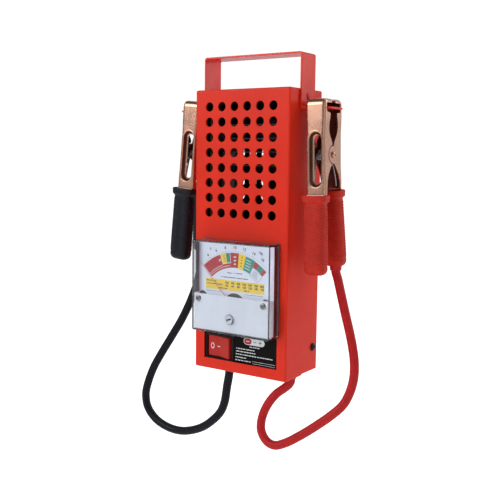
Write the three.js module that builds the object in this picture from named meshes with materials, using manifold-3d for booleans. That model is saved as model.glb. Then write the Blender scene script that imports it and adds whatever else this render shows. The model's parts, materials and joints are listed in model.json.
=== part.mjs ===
// Hand-held battery load tester: a folded steel case with a strap handle, a panel meter, a rocker
// switch, a load resistor behind vent holes, and two leads whose spring clamps hang on the handle.
// Millimetres, +Z up. X runs across the case, -Y is the front, and the origin is the middle of the
// underside of the handle's top bar, where the tester hangs.
import * as THREE from "three";
import { mergeVertices } from "three/addons/utils/BufferGeometryUtils.js";
import Module from "manifold-3d";

const wasm = await Module();
wasm.setup();

// ---- driving dimensions ----
const GAP = 0.3; // clearance kept between touching pieces
const SHEET = 1.5; // folded steel sheet
const CASE_W = 107, CASE_D = 58.5;
const CASE_TOP = -31.2, CASE_FLOOR = -303.4;
const SKIRT = 1.8; // how far the front edge and the front half of the sides reach below the floor
const FRONT = -CASE_D / 2, BACK = CASE_D / 2, SIDE = CASE_W / 2;

const VENT_PITCH = 14.5, VENT_R = 4.5, VENT_COLS = 6, VENT_ROWS = 8;
const VENT_X = -0.67, VENT_Z = -98.2; // centre of the vent grid
const REAR_VENT_X = -2.2, REAR_ROWS = [1, 4]; // the back has four of the front's rows, counted from below

const STRAP_W = 25.4, STRAP_T = 1.8;
const WING_TIP = 86, WING_TOP = -48.8; // the strap's ends, bent out to hold the clamps
const RIVET_Z = -38.2;

const SIDE_SCREW_Y = 21, SIDE_SCREW_ZS = { top: -56.2, bottom: -280.3 };

const METER_X = 0.6, METER_W = 89.5, METER_FRONT = -47.25, METER_WALL = 1.8;
const METER_TOP = -174.7, METER_SPLIT = -226.8, METER_BOTTOM = -263.7;
const PIVOT_Z = -238; // needle pivot
const DIAL_FRONT = -37.2, DIAL_T = 0.8;
const NEEDLE_L = 56.8, NEEDLE_REST_DEG = 43.5; // needle leans this far left of upright at rest
const MASK_SCREW_DX = 37.35, MASK_SCREW_Z = -231.6;
const ADJUSTER_Z = -248.4, ADJUSTER_R = 4.4;
const CAN_R = 22, YOKE_R = 14, CORE_R = 9.5;

const PANEL_FRONT = -25.9, PANEL_T = 2; // inner panel that carries the meter and the switch
const WINDOW_HALF = 42.7, WINDOW_TOP = -190, WINDOW_BOTTOM = -294.5;

const SWITCH_X = -24.7, SWITCH_Z = -282.2, ROCKER_HALF = 13.75, ROCKER_H = 10.5;
const ROCKER_PIVOT_Y = -20, ROCKER_TILT_DEG = 7;

const LOAD_RUNS = 7, LOAD_PITCH = 13, LOAD_HALF = 34, LOAD_TOP = -64, LOAD_DEPTH = [-12, 8];

const CORD_R = 4.4;
const BLACK_EXIT = [-31.5, 0], RED_EXIT = [37.5, 8]; // where the leads leave the floor, x and y
const RELIEF_END = -311.9; // lower end of both strain reliefs

const CLAMP_W = 20.3, CLAMP_T = 1.5, CLAMP_FACE = 17.3; // channel width, metal, half depth
const TIP_Y = -3.5, TIP_Z = 50.6; // end and top of each jaw's folded tip
const PIN_R = 2.5, EAR_R = 8;
const GRIP = { width: 21.4, depth: 14.8, collarWidth: 25.6, collarDepth: 17.8 };
const CLAMPS = {
  red: { x: 73.5, z: -92, leanDeg: -1.5, colour: 0xb8302c },
  black: { x: -73.5, z: -90.2, leanDeg: 5, colour: 0x22242c },
};

// ---- materials ----
const paint = new THREE.MeshStandardMaterial({ color: 0xe23a28, roughness: 0.45, metalness: 0.1 });
const steel = new THREE.MeshStandardMaterial({ color: 0x9a9da2, roughness: 0.4, metalness: 0.9 });
const blackPlastic = new THREE.MeshStandardMaterial({ color: 0x17181b, roughness: 0.5 });
const whitePlastic = new THREE.MeshStandardMaterial({ color: 0xd7dae4, roughness: 0.35 });
const redPlastic = new THREE.MeshStandardMaterial({ color: 0xd8352b, roughness: 0.35 });
const clear = new THREE.MeshStandardMaterial({
  color: 0xffffff, roughness: 0.05, transparent: true, opacity: 0.25,
});
const copper = new THREE.MeshStandardMaterial({ color: 0xbe8269, roughness: 0.35, metalness: 0.9 });
const brass = new THREE.MeshStandardMaterial({ color: 0xc9a85a, roughness: 0.35, metalness: 0.9 });
const fibre = new THREE.MeshStandardMaterial({ color: 0x8a7350, roughness: 0.8 });
const blackSteel = new THREE.MeshStandardMaterial({ color: 0x1b1b1d, roughness: 0.4, metalness: 0.6 });
const redRubber = new THREE.MeshStandardMaterial({ color: 0xc8322d, roughness: 0.5 });
const blackRubber = new THREE.MeshStandardMaterial({ color: 0x1e2028, roughness: 0.5 });

// ---- shape helpers ----
// A closed three.js geometry as a manifold solid.
function solid(geometry) {
  const bare = geometry.index ? geometry.toNonIndexed() : geometry.clone();
  bare.deleteAttribute("normal");
  bare.deleteAttribute("uv");
  const merged = mergeVertices(bare, 1e-4);
  return new wasm.Manifold(new wasm.Mesh({
    numProp: 3,
    vertProperties: new Float32Array(merged.attributes.position.array),
    triVerts: new Uint32Array(merged.index.array),
  }));
}

// A manifold solid as a three.js geometry.
function geometryOf(made) {
  const mesh = made.getMesh();
  const geometry = new THREE.BufferGeometry();
  geometry.setAttribute("position", new THREE.BufferAttribute(new Float32Array(mesh.vertProperties), 3));
  geometry.setIndex(new THREE.BufferAttribute(new Uint32Array(mesh.triVerts), 1));
  const flat = geometry.toNonIndexed();
  flat.computeVertexNormals();
  return flat;
}

// A box between two corners.
function box([x0, x1], [y0, y1], [z0, z1]) {
  const geometry = new THREE.BoxGeometry(x1 - x0, y1 - y0, z1 - z0);
  return solid(geometry.translate((x0 + x1) / 2, (y0 + y1) / 2, (z0 + z1) / 2));
}

// A cylinder or cone along one axis, from a to b, about the point (u, v) of the other two axes.
function rod(axis, [a, b], [u, v], radius, sides = 16, endRadius = radius) {
  const geometry = new THREE.CylinderGeometry(endRadius, radius, b - a, sides);
  const middle = (a + b) / 2;
  if (axis === "x") geometry.rotateZ(-Math.PI / 2).translate(middle, u, v);
  if (axis === "y") geometry.translate(u, middle, v);
  if (axis === "z") geometry.rotateX(Math.PI / 2).translate(u, v, middle);
  return solid(geometry);
}

// A ring about the Y axis through (x, z).
function ringY([a, b], [x, z], outer, inner, sides = 32) {
  return rod("y", [a, b], [x, z], outer, sides).subtract(rod("y", [a - 1, b + 1], [x, z], inner, sides));
}

// A flat outline of [y, z] points, extruded across X from -half to half.
function sideProfile(points, half) {
  const shape = new THREE.Shape(points.map(([y, z]) => new THREE.Vector2(y, z)));
  const geometry = new THREE.ExtrudeGeometry(shape, { depth: 2 * half, bevelEnabled: false });
  geometry.translate(0, 0, -half).rotateY(Math.PI / 2).rotateX(Math.PI / 2);
  return solid(geometry);
}

// A closed tube that follows hand-placed points.
function tube(points, radius, steps, sides = 8) {
  const route = new THREE.CatmullRomCurve3(points.map((p) => new THREE.Vector3(...p)), false, "centripetal");
  const ring = new THREE.Shape(
    Array.from({ length: sides }, (_, i) => {
      const turn = (2 * Math.PI * i) / sides;
      return new THREE.Vector2(radius * Math.cos(turn), radius * Math.sin(turn));
    }),
  );
  return new THREE.ExtrudeGeometry(ring, { steps, extrudePath: route, bevelEnabled: false });
}

function joined(solids) {
  return solids.reduce((sum, next) => sum.add(next));
}

const tester = new THREE.Group();

// Adds one named piece to a group.
function piece(name, shape, material, parent = tester) {
  const mesh = new THREE.Mesh(shape.isBufferGeometry ? shape : geometryOf(shape), material);
  mesh.name = name;
  parent.add(mesh);
  return mesh;
}

// Rows of the vent grid as one bundle of rods through a panel.
function ventRods([y0, y1], sides, [firstRow, lastRow], middle) {
  const rods = [];
  for (let row = firstRow; row <= lastRow; row += 1) {
    for (let col = 0; col < VENT_COLS; col += 1) {
      const x = middle + (col - (VENT_COLS - 1) / 2) * VENT_PITCH;
      const z = VENT_Z + (row - (VENT_ROWS - 1) / 2) * VENT_PITCH;
      rods.push(rod("y", [y0, y1], [x, z], VENT_R, sides));
    }
  }
  return joined(rods);
}

// ---- case ----
function frontShell() {
  const floor = CASE_FLOOR + SHEET;
  let shell = box([-SIDE, SIDE], [FRONT, BACK], [CASE_FLOOR, CASE_TOP]);
  const skirt = box([-SIDE, SIDE], [FRONT, 0.75], [CASE_FLOOR - SKIRT, CASE_FLOOR + 0.5]).subtract(
    box([-SIDE + SHEET, SIDE - SHEET], [FRONT + SHEET, 5], [CASE_FLOOR - SKIRT - 1, CASE_FLOOR]),
  );
  const hollow = box([-SIDE + SHEET, SIDE - SHEET], [FRONT + SHEET, BACK + 1], [floor, CASE_TOP - SHEET]);
  shell = shell.add(skirt).subtract(hollow);
  shell = shell.subtract(ventRods([FRONT - 1, FRONT + SHEET + 1], 12, [0, VENT_ROWS - 1], VENT_X));
  shell = shell.subtract(
    box([METER_X - WINDOW_HALF, METER_X + WINDOW_HALF], [FRONT - 1, FRONT + SHEET + 1],
      [WINDOW_BOTTOM, WINDOW_TOP]),
  );
  for (const [x, y] of [BLACK_EXIT, RED_EXIT]) {
    shell = shell.subtract(rod("z", [CASE_FLOOR - 1, floor + 1], [x, y], 6, 16));
  }
  shell = shell.subtract(rod("x", [-60, 60], [0, RIVET_Z], 2.2, 10));
  for (const z of Object.values(SIDE_SCREW_ZS)) {
    shell = shell.subtract(rod("x", [-60, 60], [SIDE_SCREW_Y, z], 1.9, 10));
  }
  return shell;
}

function rearCover() {
  const half = SIDE - SHEET - GAP;
  const low = CASE_FLOOR + SHEET + GAP, high = CASE_TOP - SHEET - GAP;
  const frontEdge = 7.75;
  let cover = box([-half, half], [frontEdge, BACK], [low, high]).subtract(
    box([-half + SHEET, half - SHEET], [frontEdge - 1, BACK - SHEET], [low + SHEET, high - SHEET]),
  );
  cover = cover.subtract(ventRods([BACK - SHEET - 1, BACK + 1], 10, REAR_ROWS, REAR_VENT_X));
  cover = cover.subtract(rod("z", [low - 1, low + 3], RED_EXIT, 9.5, 16));
  for (const z of Object.values(SIDE_SCREW_ZS)) {
    cover = cover.subtract(rod("x", [-60, 60], [SIDE_SCREW_Y, z], 1.9, 10));
  }
  return cover;
}

function sideScrew(side, z) {
  const head = rod("x", [SIDE + GAP, SIDE + 1.6], [SIDE_SCREW_Y, z], 3.9, 16, 3.9);
  const crown = rod("x", [SIDE + 1.5, SIDE + 2.5], [SIDE_SCREW_Y, z], 3.9, 16, 2.4);
  const shank = rod("x", [46, SIDE + 1], [SIDE_SCREW_Y, z], 1.6, 10);
  const made = joined([head, crown, shank]);
  return side > 0 ? made : made.mirror([1, 0, 0]);
}

piece("front_shell", frontShell(), paint);
piece("rear_cover", rearCover(), paint);
for (const [level, z] of Object.entries(SIDE_SCREW_ZS)) {
  piece(`side_screw_${level}_left`, sideScrew(-1, z), blackSteel);
  piece(`side_screw_${level}_right`, sideScrew(1, z), blackSteel);
}

// ---- handle ----
function handleStrap() {
  const half = STRAP_W / 2;
  const inner = SIDE + GAP, outer = inner + STRAP_T;
  const parts = [box([-outer, outer], [-half, half], [0, STRAP_T])];
  for (const side of [-1, 1]) {
    const across = (a, b) => (side > 0 ? [a, b] : [-b, -a]);
    parts.push(box(across(inner, outer), [-half, half], [WING_TOP - STRAP_T, 0.5]));
    parts.push(box(across(inner, WING_TIP), [-half, half], [WING_TOP - STRAP_T, WING_TOP]));
  }
  return joined(parts).subtract(rod("x", [-60, 60], [0, RIVET_Z], 2.2, 10));
}

function handleRivet(side) {
  const face = SIDE + 2 * GAP + STRAP_T;
  const head = rod("x", [face, face + 0.9], [0, RIVET_Z], 3.4, 16, 2.2);
  const shank = rod("x", [SIDE - SHEET - 1, face + 0.5], [0, RIVET_Z], 1.9, 10);
  const tail = rod("x", [SIDE - SHEET - GAP - 1.2, SIDE - SHEET - GAP], [0, RIVET_Z], 3.2, 12);
  const made = joined([head, shank, tail]);
  return side > 0 ? made : made.mirror([1, 0, 0]);
}

piece("handle_strap", handleStrap(), paint);
piece("handle_rivet_left", handleRivet(-1), paint);
piece("handle_rivet_right", handleRivet(1), paint);

// ---- inner panel, label and switch ----
const PANEL_BACK = PANEL_FRONT + PANEL_T;
const STUD_DX = 30, STUD_Z = -204;

function innerPanel() {
  let panel = box([-51, 51], [PANEL_FRONT, PANEL_BACK], [CASE_FLOOR + SHEET + GAP, -162]);
  panel = panel.subtract(rod("y", [-40, 0], [METER_X, PIVOT_Z], CAN_R + 1, 24));
  panel = panel.subtract(
    box([SWITCH_X - 16, SWITCH_X + 16], [-40, 0], [SWITCH_Z - 12.3, SWITCH_Z + 12.3]),
  );
  for (const side of [-1, 1]) {
    panel = panel.subtract(rod("y", [-40, 0], [METER_X + side * STUD_DX, STUD_Z], 2.3, 10));
  }
  return panel;
}

function switchHousing() {
  const back = -4;
  const bezel = box([-17, 17], [PANEL_FRONT - GAP - 1, PANEL_FRONT - GAP], [-13.2, 13.2]);
  const body = box([-15.7, 15.7], [PANEL_FRONT - 1, back], [-12, 12]);
  let housing = bezel.add(body);
  housing = housing.subtract(box([-14.8, 14.8], [-40, -13], [-10.9, 10.9]));
  housing = housing.subtract(rod("z", [-20, 20], [0, ROCKER_PIVOT_Y], 1.8, 12));
  for (const x of [-8, 8]) {
    housing = housing.subtract(box([x - 0.8, x + 0.8], [-14, 0], [-3.5, 3.5]));
  }
  return housing.translate([SWITCH_X, 0, SWITCH_Z]);
}

function rocker() {
  const outline = [
    [-ROCKER_HALF, -27.6], [0, -26.1], [ROCKER_HALF, -27.6], [12.9, -21.5], [2.6, -17.4],
    [1.2, -15.2], [-1.2, -15.2], [-2.6, -17.4], [-12.9, -21.5],
  ];
  const shape = new THREE.Shape(outline.map(([x, y]) => new THREE.Vector2(x, y)));
  const slab = new THREE.ExtrudeGeometry(shape, { depth: 2 * ROCKER_H, bevelEnabled: false });
  const trunnion = rod("z", [-11.7, 11.7], [0, ROCKER_PIVOT_Y], 1.5, 10);
  return solid(slab.translate(0, 0, -ROCKER_H)).add(trunnion);
}

piece("inner_panel", innerPanel(), blackPlastic);
piece("label_plate", box([-6.5, 42.5], [-26.9, PANEL_FRONT - GAP], [-294.3, -265.5]), blackPlastic);
piece("switch_housing", switchHousing(), blackPlastic);
{
  const pivot = new THREE.Group();
  pivot.position.set(SWITCH_X, ROCKER_PIVOT_Y, SWITCH_Z);
  pivot.rotation.z = THREE.MathUtils.degToRad(-ROCKER_TILT_DEG);
  tester.add(pivot);
  piece("rocker", rocker().translate([0, -ROCKER_PIVOT_Y, 0]), redPlastic, pivot);
}
for (const [place, x] of [["left", -8], ["right", 8]]) {
  const blade = box([SWITCH_X + x - 0.4, SWITCH_X + x + 0.4], [-11, 5], [SWITCH_Z - 3.1, SWITCH_Z + 3.1]);
  piece(`switch_terminal_${place}`, blade, brass);
}

// ---- meter ----
const METER_HALF = METER_W / 2;
const METER_BACK = FRONT - GAP;

const MASK_FRONT = METER_FRONT + METER_WALL + GAP, MASK_WALL = 1.5;

// The clear cover over the whole meter, bored for its two screws and the zero adjuster.
function meterWindow() {
  let cover = box([-METER_HALF, METER_HALF], [METER_FRONT, METER_BACK], [METER_BOTTOM, METER_TOP]);
  cover = cover.subtract(box([-METER_HALF + METER_WALL, METER_HALF - METER_WALL],
    [METER_FRONT + METER_WALL, METER_BACK + 1], [METER_BOTTOM + METER_WALL, METER_TOP - METER_WALL]));
  cover = cover.translate([METER_X, 0, 0]);
  for (const side of [-1, 1]) {
    const at = [METER_X + side * MASK_SCREW_DX, MASK_SCREW_Z];
    cover = cover.subtract(rod("y", [METER_FRONT - 1, METER_FRONT + 1.1], at, 3.1, 16));
    cover = cover.subtract(rod("y", [METER_FRONT - 1, METER_FRONT + 3], at, 1.7, 10));
  }
  return cover.subtract(rod("y", [METER_FRONT - 1, METER_FRONT + 3], [METER_X, ADJUSTER_Z], 4.8, 16));
}

// The white tray inside the cover's lower half, with a post behind each screw.
function meterMask() {
  const half = METER_HALF - METER_WALL - GAP, low = METER_BOTTOM + METER_WALL + GAP;
  const back = DIAL_FRONT - GAP;
  let mask = box([-half, half], [MASK_FRONT, back], [low, METER_SPLIT]).subtract(
    box([-half + MASK_WALL, half - MASK_WALL], [MASK_FRONT + MASK_WALL, back + 1], [low + MASK_WALL, METER_SPLIT + 1]),
  );
  mask = mask.translate([METER_X, 0, 0]);
  for (const side of [-1, 1]) {
    const at = [METER_X + side * MASK_SCREW_DX, MASK_SCREW_Z];
    mask = mask.add(rod("y", [MASK_FRONT + 0.5, back], at, 3.6, 16));
    mask = mask.subtract(rod("y", [MASK_FRONT - 1, back + 1], at, 1.7, 10));
  }
  return mask.subtract(rod("y", [MASK_FRONT - 1, MASK_FRONT + 3], [METER_X, ADJUSTER_Z], 4.8, 16));
}

function meterBase() {
  const half = METER_HALF - METER_WALL - GAP - 0.1;
  const low = METER_BOTTOM + METER_WALL + GAP, high = METER_TOP - METER_WALL - GAP;
  const rim = DIAL_FRONT + DIAL_T + GAP, floor = METER_BACK - 2;
  let base = box([METER_X - half, METER_X + half], [rim, METER_BACK], [low, high]).subtract(
    box([METER_X - half + 1.5, METER_X + half - 1.5], [rim - 1, floor], [low + 1.5, high - 1.5]),
  );
  const axis = [METER_X, PIVOT_Z];
  base = base.add(rod("y", [floor, -8], axis, CAN_R, 32));
  for (const side of [-1, 1]) {
    base = base.add(rod("y", [rim, floor + 0.5], [METER_X + side * MASK_SCREW_DX, MASK_SCREW_Z], 3.4, 12));
  }
  base = base.subtract(rod("y", [floor - 1, -10], axis, 20, 32)).subtract(rod("y", [-11, 0], axis, 1.4, 10));
  for (const side of [-1, 1]) {
    const screwAt = [METER_X + side * MASK_SCREW_DX, MASK_SCREW_Z];
    base = base.subtract(rod("y", [rim - 1, floor], screwAt, 1.6, 10));
    base = base.subtract(rod("y", [-40, 0], [METER_X + side * STUD_DX, STUD_Z], 2.2, 10));
  }
  return base;
}

function dialPlate() {
  const half = METER_HALF - METER_WALL - 2 * GAP;
  let plate = box([METER_X - half, METER_X + half], [DIAL_FRONT, DIAL_FRONT + DIAL_T],
    [METER_BOTTOM + METER_WALL + 2 * GAP, METER_TOP - METER_WALL - 2 * GAP]);
  plate = plate.subtract(rod("y", [-40, -30], [METER_X, PIVOT_Z], 13.6, 24));
  for (const side of [-1, 1]) {
    plate = plate.subtract(rod("y", [-40, -30], [METER_X + side * MASK_SCREW_DX, MASK_SCREW_Z], 1.8, 10));
  }
  return plate;
}

piece("meter_window", meterWindow(), clear);
piece("meter_mask", meterMask(), whitePlastic);
piece("meter_base", meterBase(), blackPlastic);
piece("dial_plate", dialPlate(), whitePlastic);

for (const [place, side] of [["left", -1], ["right", 1]]) {
  const at = [METER_X + side * MASK_SCREW_DX, MASK_SCREW_Z];
  const head = rod("y", [METER_FRONT - 0.4, METER_FRONT + 0.8], at, 2.8, 16);
  const slot = box([at[0] - 4, at[0] + 4], [METER_FRONT - 1, METER_FRONT], [at[1] - 0.4, at[1] + 0.4]);
  const shank = rod("y", [METER_FRONT + 0.5, -32.5], at, 1.3, 8);
  piece(`mask_screw_${place}`, head.subtract(slot).add(shank), steel);

  const stud = [METER_X + side * STUD_DX, STUD_Z];
  const studHead = rod("y", [-33.2, -31.85], stud, 3.5, 12);
  piece(`meter_stud_${place}`, studHead.add(rod("y", [-32, -16], stud, 1.9, 10)), brass);
  piece(`stud_nut_${place}`, ringY([PANEL_BACK + GAP, PANEL_BACK + 3.5], stud, 4.5, 2.25, 6), brass);
}

// ---- meter movement, all about the needle's axis ----
function magnetCore() {
  const core = rod("y", [-28, -14], [0, 0], CORE_R, 24);
  const arm = box([-2.5, 2.5], [-28, -14], [-YOKE_R + 0.5, YOKE_R - 0.5]);
  return core.add(arm).translate([METER_X, 0, PIVOT_Z]);
}

function movingCoil() {
  const frame = box([-12.6, 12.6], [-30.3, -11.7], [-2, 2]).subtract(box([-10.3, 10.3], [-29, -13], [-3, 3]));
  return frame.add(rod("y", [-12.5, -9], [0, 0], 1, 8)).translate([0, 0, 0]);
}

function needle() {
  const hub = rod("y", [-41, -38.5], [0, 0], 3, 16);
  const shaft = rod("y", [-39, -30.6], [0, 0], 1, 8);
  const pointer = new THREE.Shape([
    new THREE.Vector2(-0.9, -12), new THREE.Vector2(0.9, -12), new THREE.Vector2(0.25, NEEDLE_L),
    new THREE.Vector2(-0.25, NEEDLE_L),
  ]);
  const blade = new THREE.ExtrudeGeometry(pointer, { depth: 0.6, bevelEnabled: false });
  blade.rotateX(Math.PI / 2).translate(0, -39.4, 0);
  return joined([hub, shaft, solid(blade)]);
}

// Flat spiral between the coil and the bridge.
function hairspring() {
  const turns = 3, points = [];
  for (let i = 0; i <= turns * 10; i += 1) {
    const turn = (2 * Math.PI * i) / 10;
    const radius = 2.2 + (5 * i) / (turns * 10);
    points.push([radius * Math.cos(turn), -32, radius * Math.sin(turn)]);
  }
  return tube(points, 0.35, 26, 6);
}

piece("magnet_yoke", ringY([-30, -13], [METER_X, PIVOT_Z], 19.6, YOKE_R), blackSteel);
piece("magnet_core", magnetCore(), steel);
piece("movement_bridge", ringY([-35.6, -33.6], [METER_X, PIVOT_Z], 13.2, 1.4, 24), blackPlastic);
{
  const axis = new THREE.Group();
  axis.position.set(METER_X, 0, PIVOT_Z);
  axis.rotation.y = THREE.MathUtils.degToRad(-NEEDLE_REST_DEG);
  tester.add(axis);
  piece("needle", needle(), redPlastic, axis);
  piece("moving_coil", movingCoil(), copper, axis);
  piece("hairspring", hairspring(), brass, axis);
}
{
  const behind = MASK_FRONT + MASK_WALL + GAP;
  const face = rod("y", [METER_FRONT - 0.7, behind + 0.5], [0, 0], ADJUSTER_R, 20);
  const slot = box([-5, 5], [METER_FRONT - 2, METER_FRONT + 0.3], [-0.6, 0.6]);
  const flange = rod("y", [behind, behind + 0.9], [0, 0], 5.6, 20);
  const pin = rod("y", [behind + 0.5, -41.6], [0, 2.5], 1, 8);
  const made = joined([face.subtract(slot), flange, pin]).translate([METER_X, 0, ADJUSTER_Z]);
  piece("zero_adjuster", made, whitePlastic);
}

// ---- load resistor behind the vents ----
function loadRibbon() {
  const parts = [];
  for (let run = 0; run < LOAD_RUNS; run += 1) {
    const z = LOAD_TOP - run * LOAD_PITCH;
    parts.push(box([-LOAD_HALF, LOAD_HALF], LOAD_DEPTH, [z - 0.6, z + 0.6]));
    const side = run % 2 ? 1 : -1;
    const bend = side > 0 ? [LOAD_HALF - 1.2, LOAD_HALF] : [-LOAD_HALF, -LOAD_HALF + 1.2];
    if (run < LOAD_RUNS - 1) parts.push(box(bend, LOAD_DEPTH, [z - LOAD_PITCH, z]));
  }
  const topTab = box([LOAD_HALF - 1, LOAD_HALF + 3], LOAD_DEPTH, [LOAD_TOP - 0.6, LOAD_TOP + 0.6]);
  const low = LOAD_TOP - (LOAD_RUNS - 1) * LOAD_PITCH;
  const topEar = box([LOAD_HALF + 1.8, LOAD_HALF + 3], LOAD_DEPTH, [LOAD_TOP - 0.6, LOAD_TOP + 12]);
  const lowTab = box([-LOAD_HALF - 3, -LOAD_HALF + 1], LOAD_DEPTH, [low - 0.6, low + 0.6]);
  const lowEar = box([-LOAD_HALF - 3, -LOAD_HALF - 1.8], LOAD_DEPTH, [low - 12, low + 0.6]);
  return joined([...parts, topTab, topEar, lowTab, lowEar])
    .subtract(rod("x", [30, 45], [-2, LOAD_TOP + 6.5], 2.4, 10))
    .subtract(rod("x", [-45, -30], [-2, low - 6.5], 2.4, 10));
}

const LOAD_LOW = LOAD_TOP - (LOAD_RUNS - 1) * LOAD_PITCH;
const BOARD = [LOAD_HALF + 3 + GAP, LOAD_HALF + 5.3 + GAP];

function loadBoard(side) {
  const across = side > 0 ? BOARD : [-BOARD[1], -BOARD[0]];
  const bolt = side > 0 ? LOAD_TOP + 6.5 : LOAD_LOW - 6.5;
  return box(across, [-24, 24], [LOAD_LOW - 15, LOAD_TOP + 14]).subtract(rod("x", [-50, 50], [-2, bolt], 2.4, 10));
}

function loadBolt(side) {
  const z = side > 0 ? LOAD_TOP + 6.5 : LOAD_LOW - 6.5;
  const head = rod("x", [LOAD_HALF - 2, LOAD_HALF + 1.4], [-2, z], 4, 6);
  const shank = rod("x", [LOAD_HALF, LOAD_HALF + 10.5], [-2, z], 2.1, 10);
  const nut = rod("x", [BOARD[1] + GAP, BOARD[1] + 3.2], [-2, z], 4, 6);
  const made = joined([head, shank, nut]);
  return side > 0 ? made : made.mirror([1, 0, 0]);
}

piece("load_ribbon", loadRibbon(), steel);
piece("load_board_left", loadBoard(-1), fibre);
piece("load_board_right", loadBoard(1), fibre);
piece("load_bolt_left", loadBolt(-1), steel);
piece("load_bolt_right", loadBolt(1), steel);

// ---- strain reliefs, leads and inner wires ----
function strainRelief([x, y]) {
  const floor = CASE_FLOOR + SHEET;
  const neck = rod("z", [CASE_FLOOR - 1, floor + 1], [x, y], 5.7, 16);
  const flange = rod("z", [CASE_FLOOR - GAP - 2, CASE_FLOOR - GAP], [x, y], 7.6, 16);
  const collar = rod("z", [floor + GAP, floor + GAP + 2.2], [x, y], 7.6, 16);
  const cone = rod("z", [RELIEF_END, CASE_FLOOR - GAP - 1], [x, y], 5.2, 16, 6.4);
  return joined([neck, flange, collar, cone]);
}

piece("strain_relief_black", strainRelief(BLACK_EXIT), blackRubber);
piece("strain_relief_red", strainRelief(RED_EXIT), redRubber);

const LEAD_TOP = RELIEF_END - GAP;
const BLACK_ROUTE = [
  [-31.5, 0, LEAD_TOP], [-31.5, 0, -315], [-32, 0, -319], [-34.3, 0, -331], [-37, 0, -347], [-41.5, 0, -358], [-50, 0, -368],
  [-67, 0, -381], [-92, 0, -390], [-113, 0, -390], [-132, 1, -384], [-144, 2, -373], [-147.5, 3, -360],
  [-146, 4, -349], [-139.5, 7, -329], [-130, 10, -311], [-118, 13, -291], [-107, 16, -272],
  [-97.5, 18.5, -252], [-90, 20.5, -232], [-85.5, 21.5, -214], [-83.7, 22, -203], [-83.5, 22, -198.4],
];
const RED_ROUTE = [
  [37.5, 8, LEAD_TOP], [37.5, 8, -314.5], [35.3, 7.6, -318.5], [30.5, 6.5, -323], [23, 4, -329.5], [15.5, 0, -341], [11, -3, -355],
  [12, -5.5, -366.5], [19.5, -7, -375.5], [29.5, -8, -377.5], [41, -7, -373], [57, -5, -362.5],
  [72, -2, -351], [86.5, 2, -338.5], [96.5, 6, -327.5], [101.5, 10, -315], [103.5, 13, -302],
  [102.5, 15.5, -288], [99.5, 17.5, -275], [95, 19.5, -261], [89.5, 21, -245], [83.5, 21.8, -225],
  [79, 22, -209], [77, 22, -203.5], [76.8, 22, -200],
];
piece("lead_black", tube(BLACK_ROUTE, CORD_R, 34), blackRubber);
piece("lead_red", tube(RED_ROUTE, CORD_R, 38), redRubber);

const wireTop = CASE_FLOOR + SHEET + 2.5 + GAP;
piece("wire_switch", tube([[BLACK_EXIT[0], 0, wireTop], [BLACK_EXIT[0], 0, -297], [-33, 6, -291], [-33.5, 13, -286], [-32.9, 14, -279],
  [-32.7, 8, -274], [-32.7, 8, -262]], 2, 12), blackRubber);
piece("wire_load", tube([[-16.7, 8, -282], [-16.7, 14, -272], [-26, 15, -240], [-42, 15, -200], [-47, 11, -165],
  [-47, -2, -157.5]], 2, 14), blackRubber);
piece("wire_positive", tube([[RED_EXIT[0], RED_EXIT[1], wireTop], [...RED_EXIT, -297], [41, 7, -289], [47, 4, -275],
  [47.5, 2, -200], [47.5, 2, -100], [47.5, 1, -70], [47.5, -2, -62.5]], 2, 16), redRubber);

// ---- clamps ----
// One half of a clamp in its own frame: pivot at the origin, metal on the -Y side. The front half has
// its ears inside and a rimmed slot in its face, and the rear half has its ears outside and no slot.
function clampHalf(earInside) {
  const half = CLAMP_W / 2, face = -CLAMP_FACE;
  const foot = earInside ? -36.9 : -31;
  const outline = [
    [face, foot], [face, TIP_Z], [TIP_Y, TIP_Z], [TIP_Y, TIP_Z - 2], [-13.2, TIP_Z - 2], [-13.2, 38.2],
    [-6.5, 38.2],
    [-6.5, 35], [-8, 30], [-8, 22], [-6, 15], [-1.6, 10.5], [-1.6, 8], [-1.6, -8], [-4.5, -12],
    [-11, -20], [-12.5, foot],
  ];
  let channel = sideProfile(outline, half).subtract(
    sideProfile([[face + CLAMP_T, -40], [face + CLAMP_T, TIP_Z - 1.7], [5, TIP_Z - 1.7], [5, -40]],
      half - CLAMP_T),
  );
  const ears = [];
  const [earIn, earOut] = earInside ? [6.8, half - CLAMP_T - GAP] : [half - CLAMP_T, half];
  if (earInside) channel = channel.subtract(rod("x", [-20, 20], [0, 0], EAR_R + 0.7, 24));
  for (const side of [-1, 1]) {
    const across = (a, b) => (side > 0 ? [a, b] : [-b, -a]);
    ears.push(rod("x", across(earIn, earOut), [0, 0], EAR_R, 20));
    ears.push(box(across(earIn, earOut), [-12, -2], [-6.5, 6.5]));
    if (earInside) ears.push(box(across(earIn, half - 0.4), [-13.5, -10], [-6.5, 6.5]));
  }
  channel = joined([channel, ...ears]).subtract(rod("x", [-20, 20], [0, 0], PIN_R + GAP, 14));
  const slotLow = -23, slotHigh = 14, slotR = 6.25, lip = 1.2;
  const capsule = (radius, y0, y1) => joined([
    rod("y", [y0, y1], [0, slotLow], radius, 16), rod("y", [y0, y1], [0, slotHigh], radius, 16),
    box([-radius, radius], [y0, y1], [slotLow, slotHigh]),
  ]);
  if (!earInside) return channel;
  return channel.add(capsule(slotR + lip, face + 0.5, face + 5)).subtract(capsule(slotR, face - 5, face + 8));
}

// The flat tongue that the grip is pushed onto, tilted out by the same angle as the grip.
function tongue(tiltDeg, clearance) {
  const made = box([-9 - clearance, 9 + clearance], [-0.75 - clearance, 0.75 + clearance],
    [-32 - clearance, 3]);
  return made.rotate([-tiltDeg, 0, 0]).translate([0, -CLAMP_FACE + 0.75, -29]);
}

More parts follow.
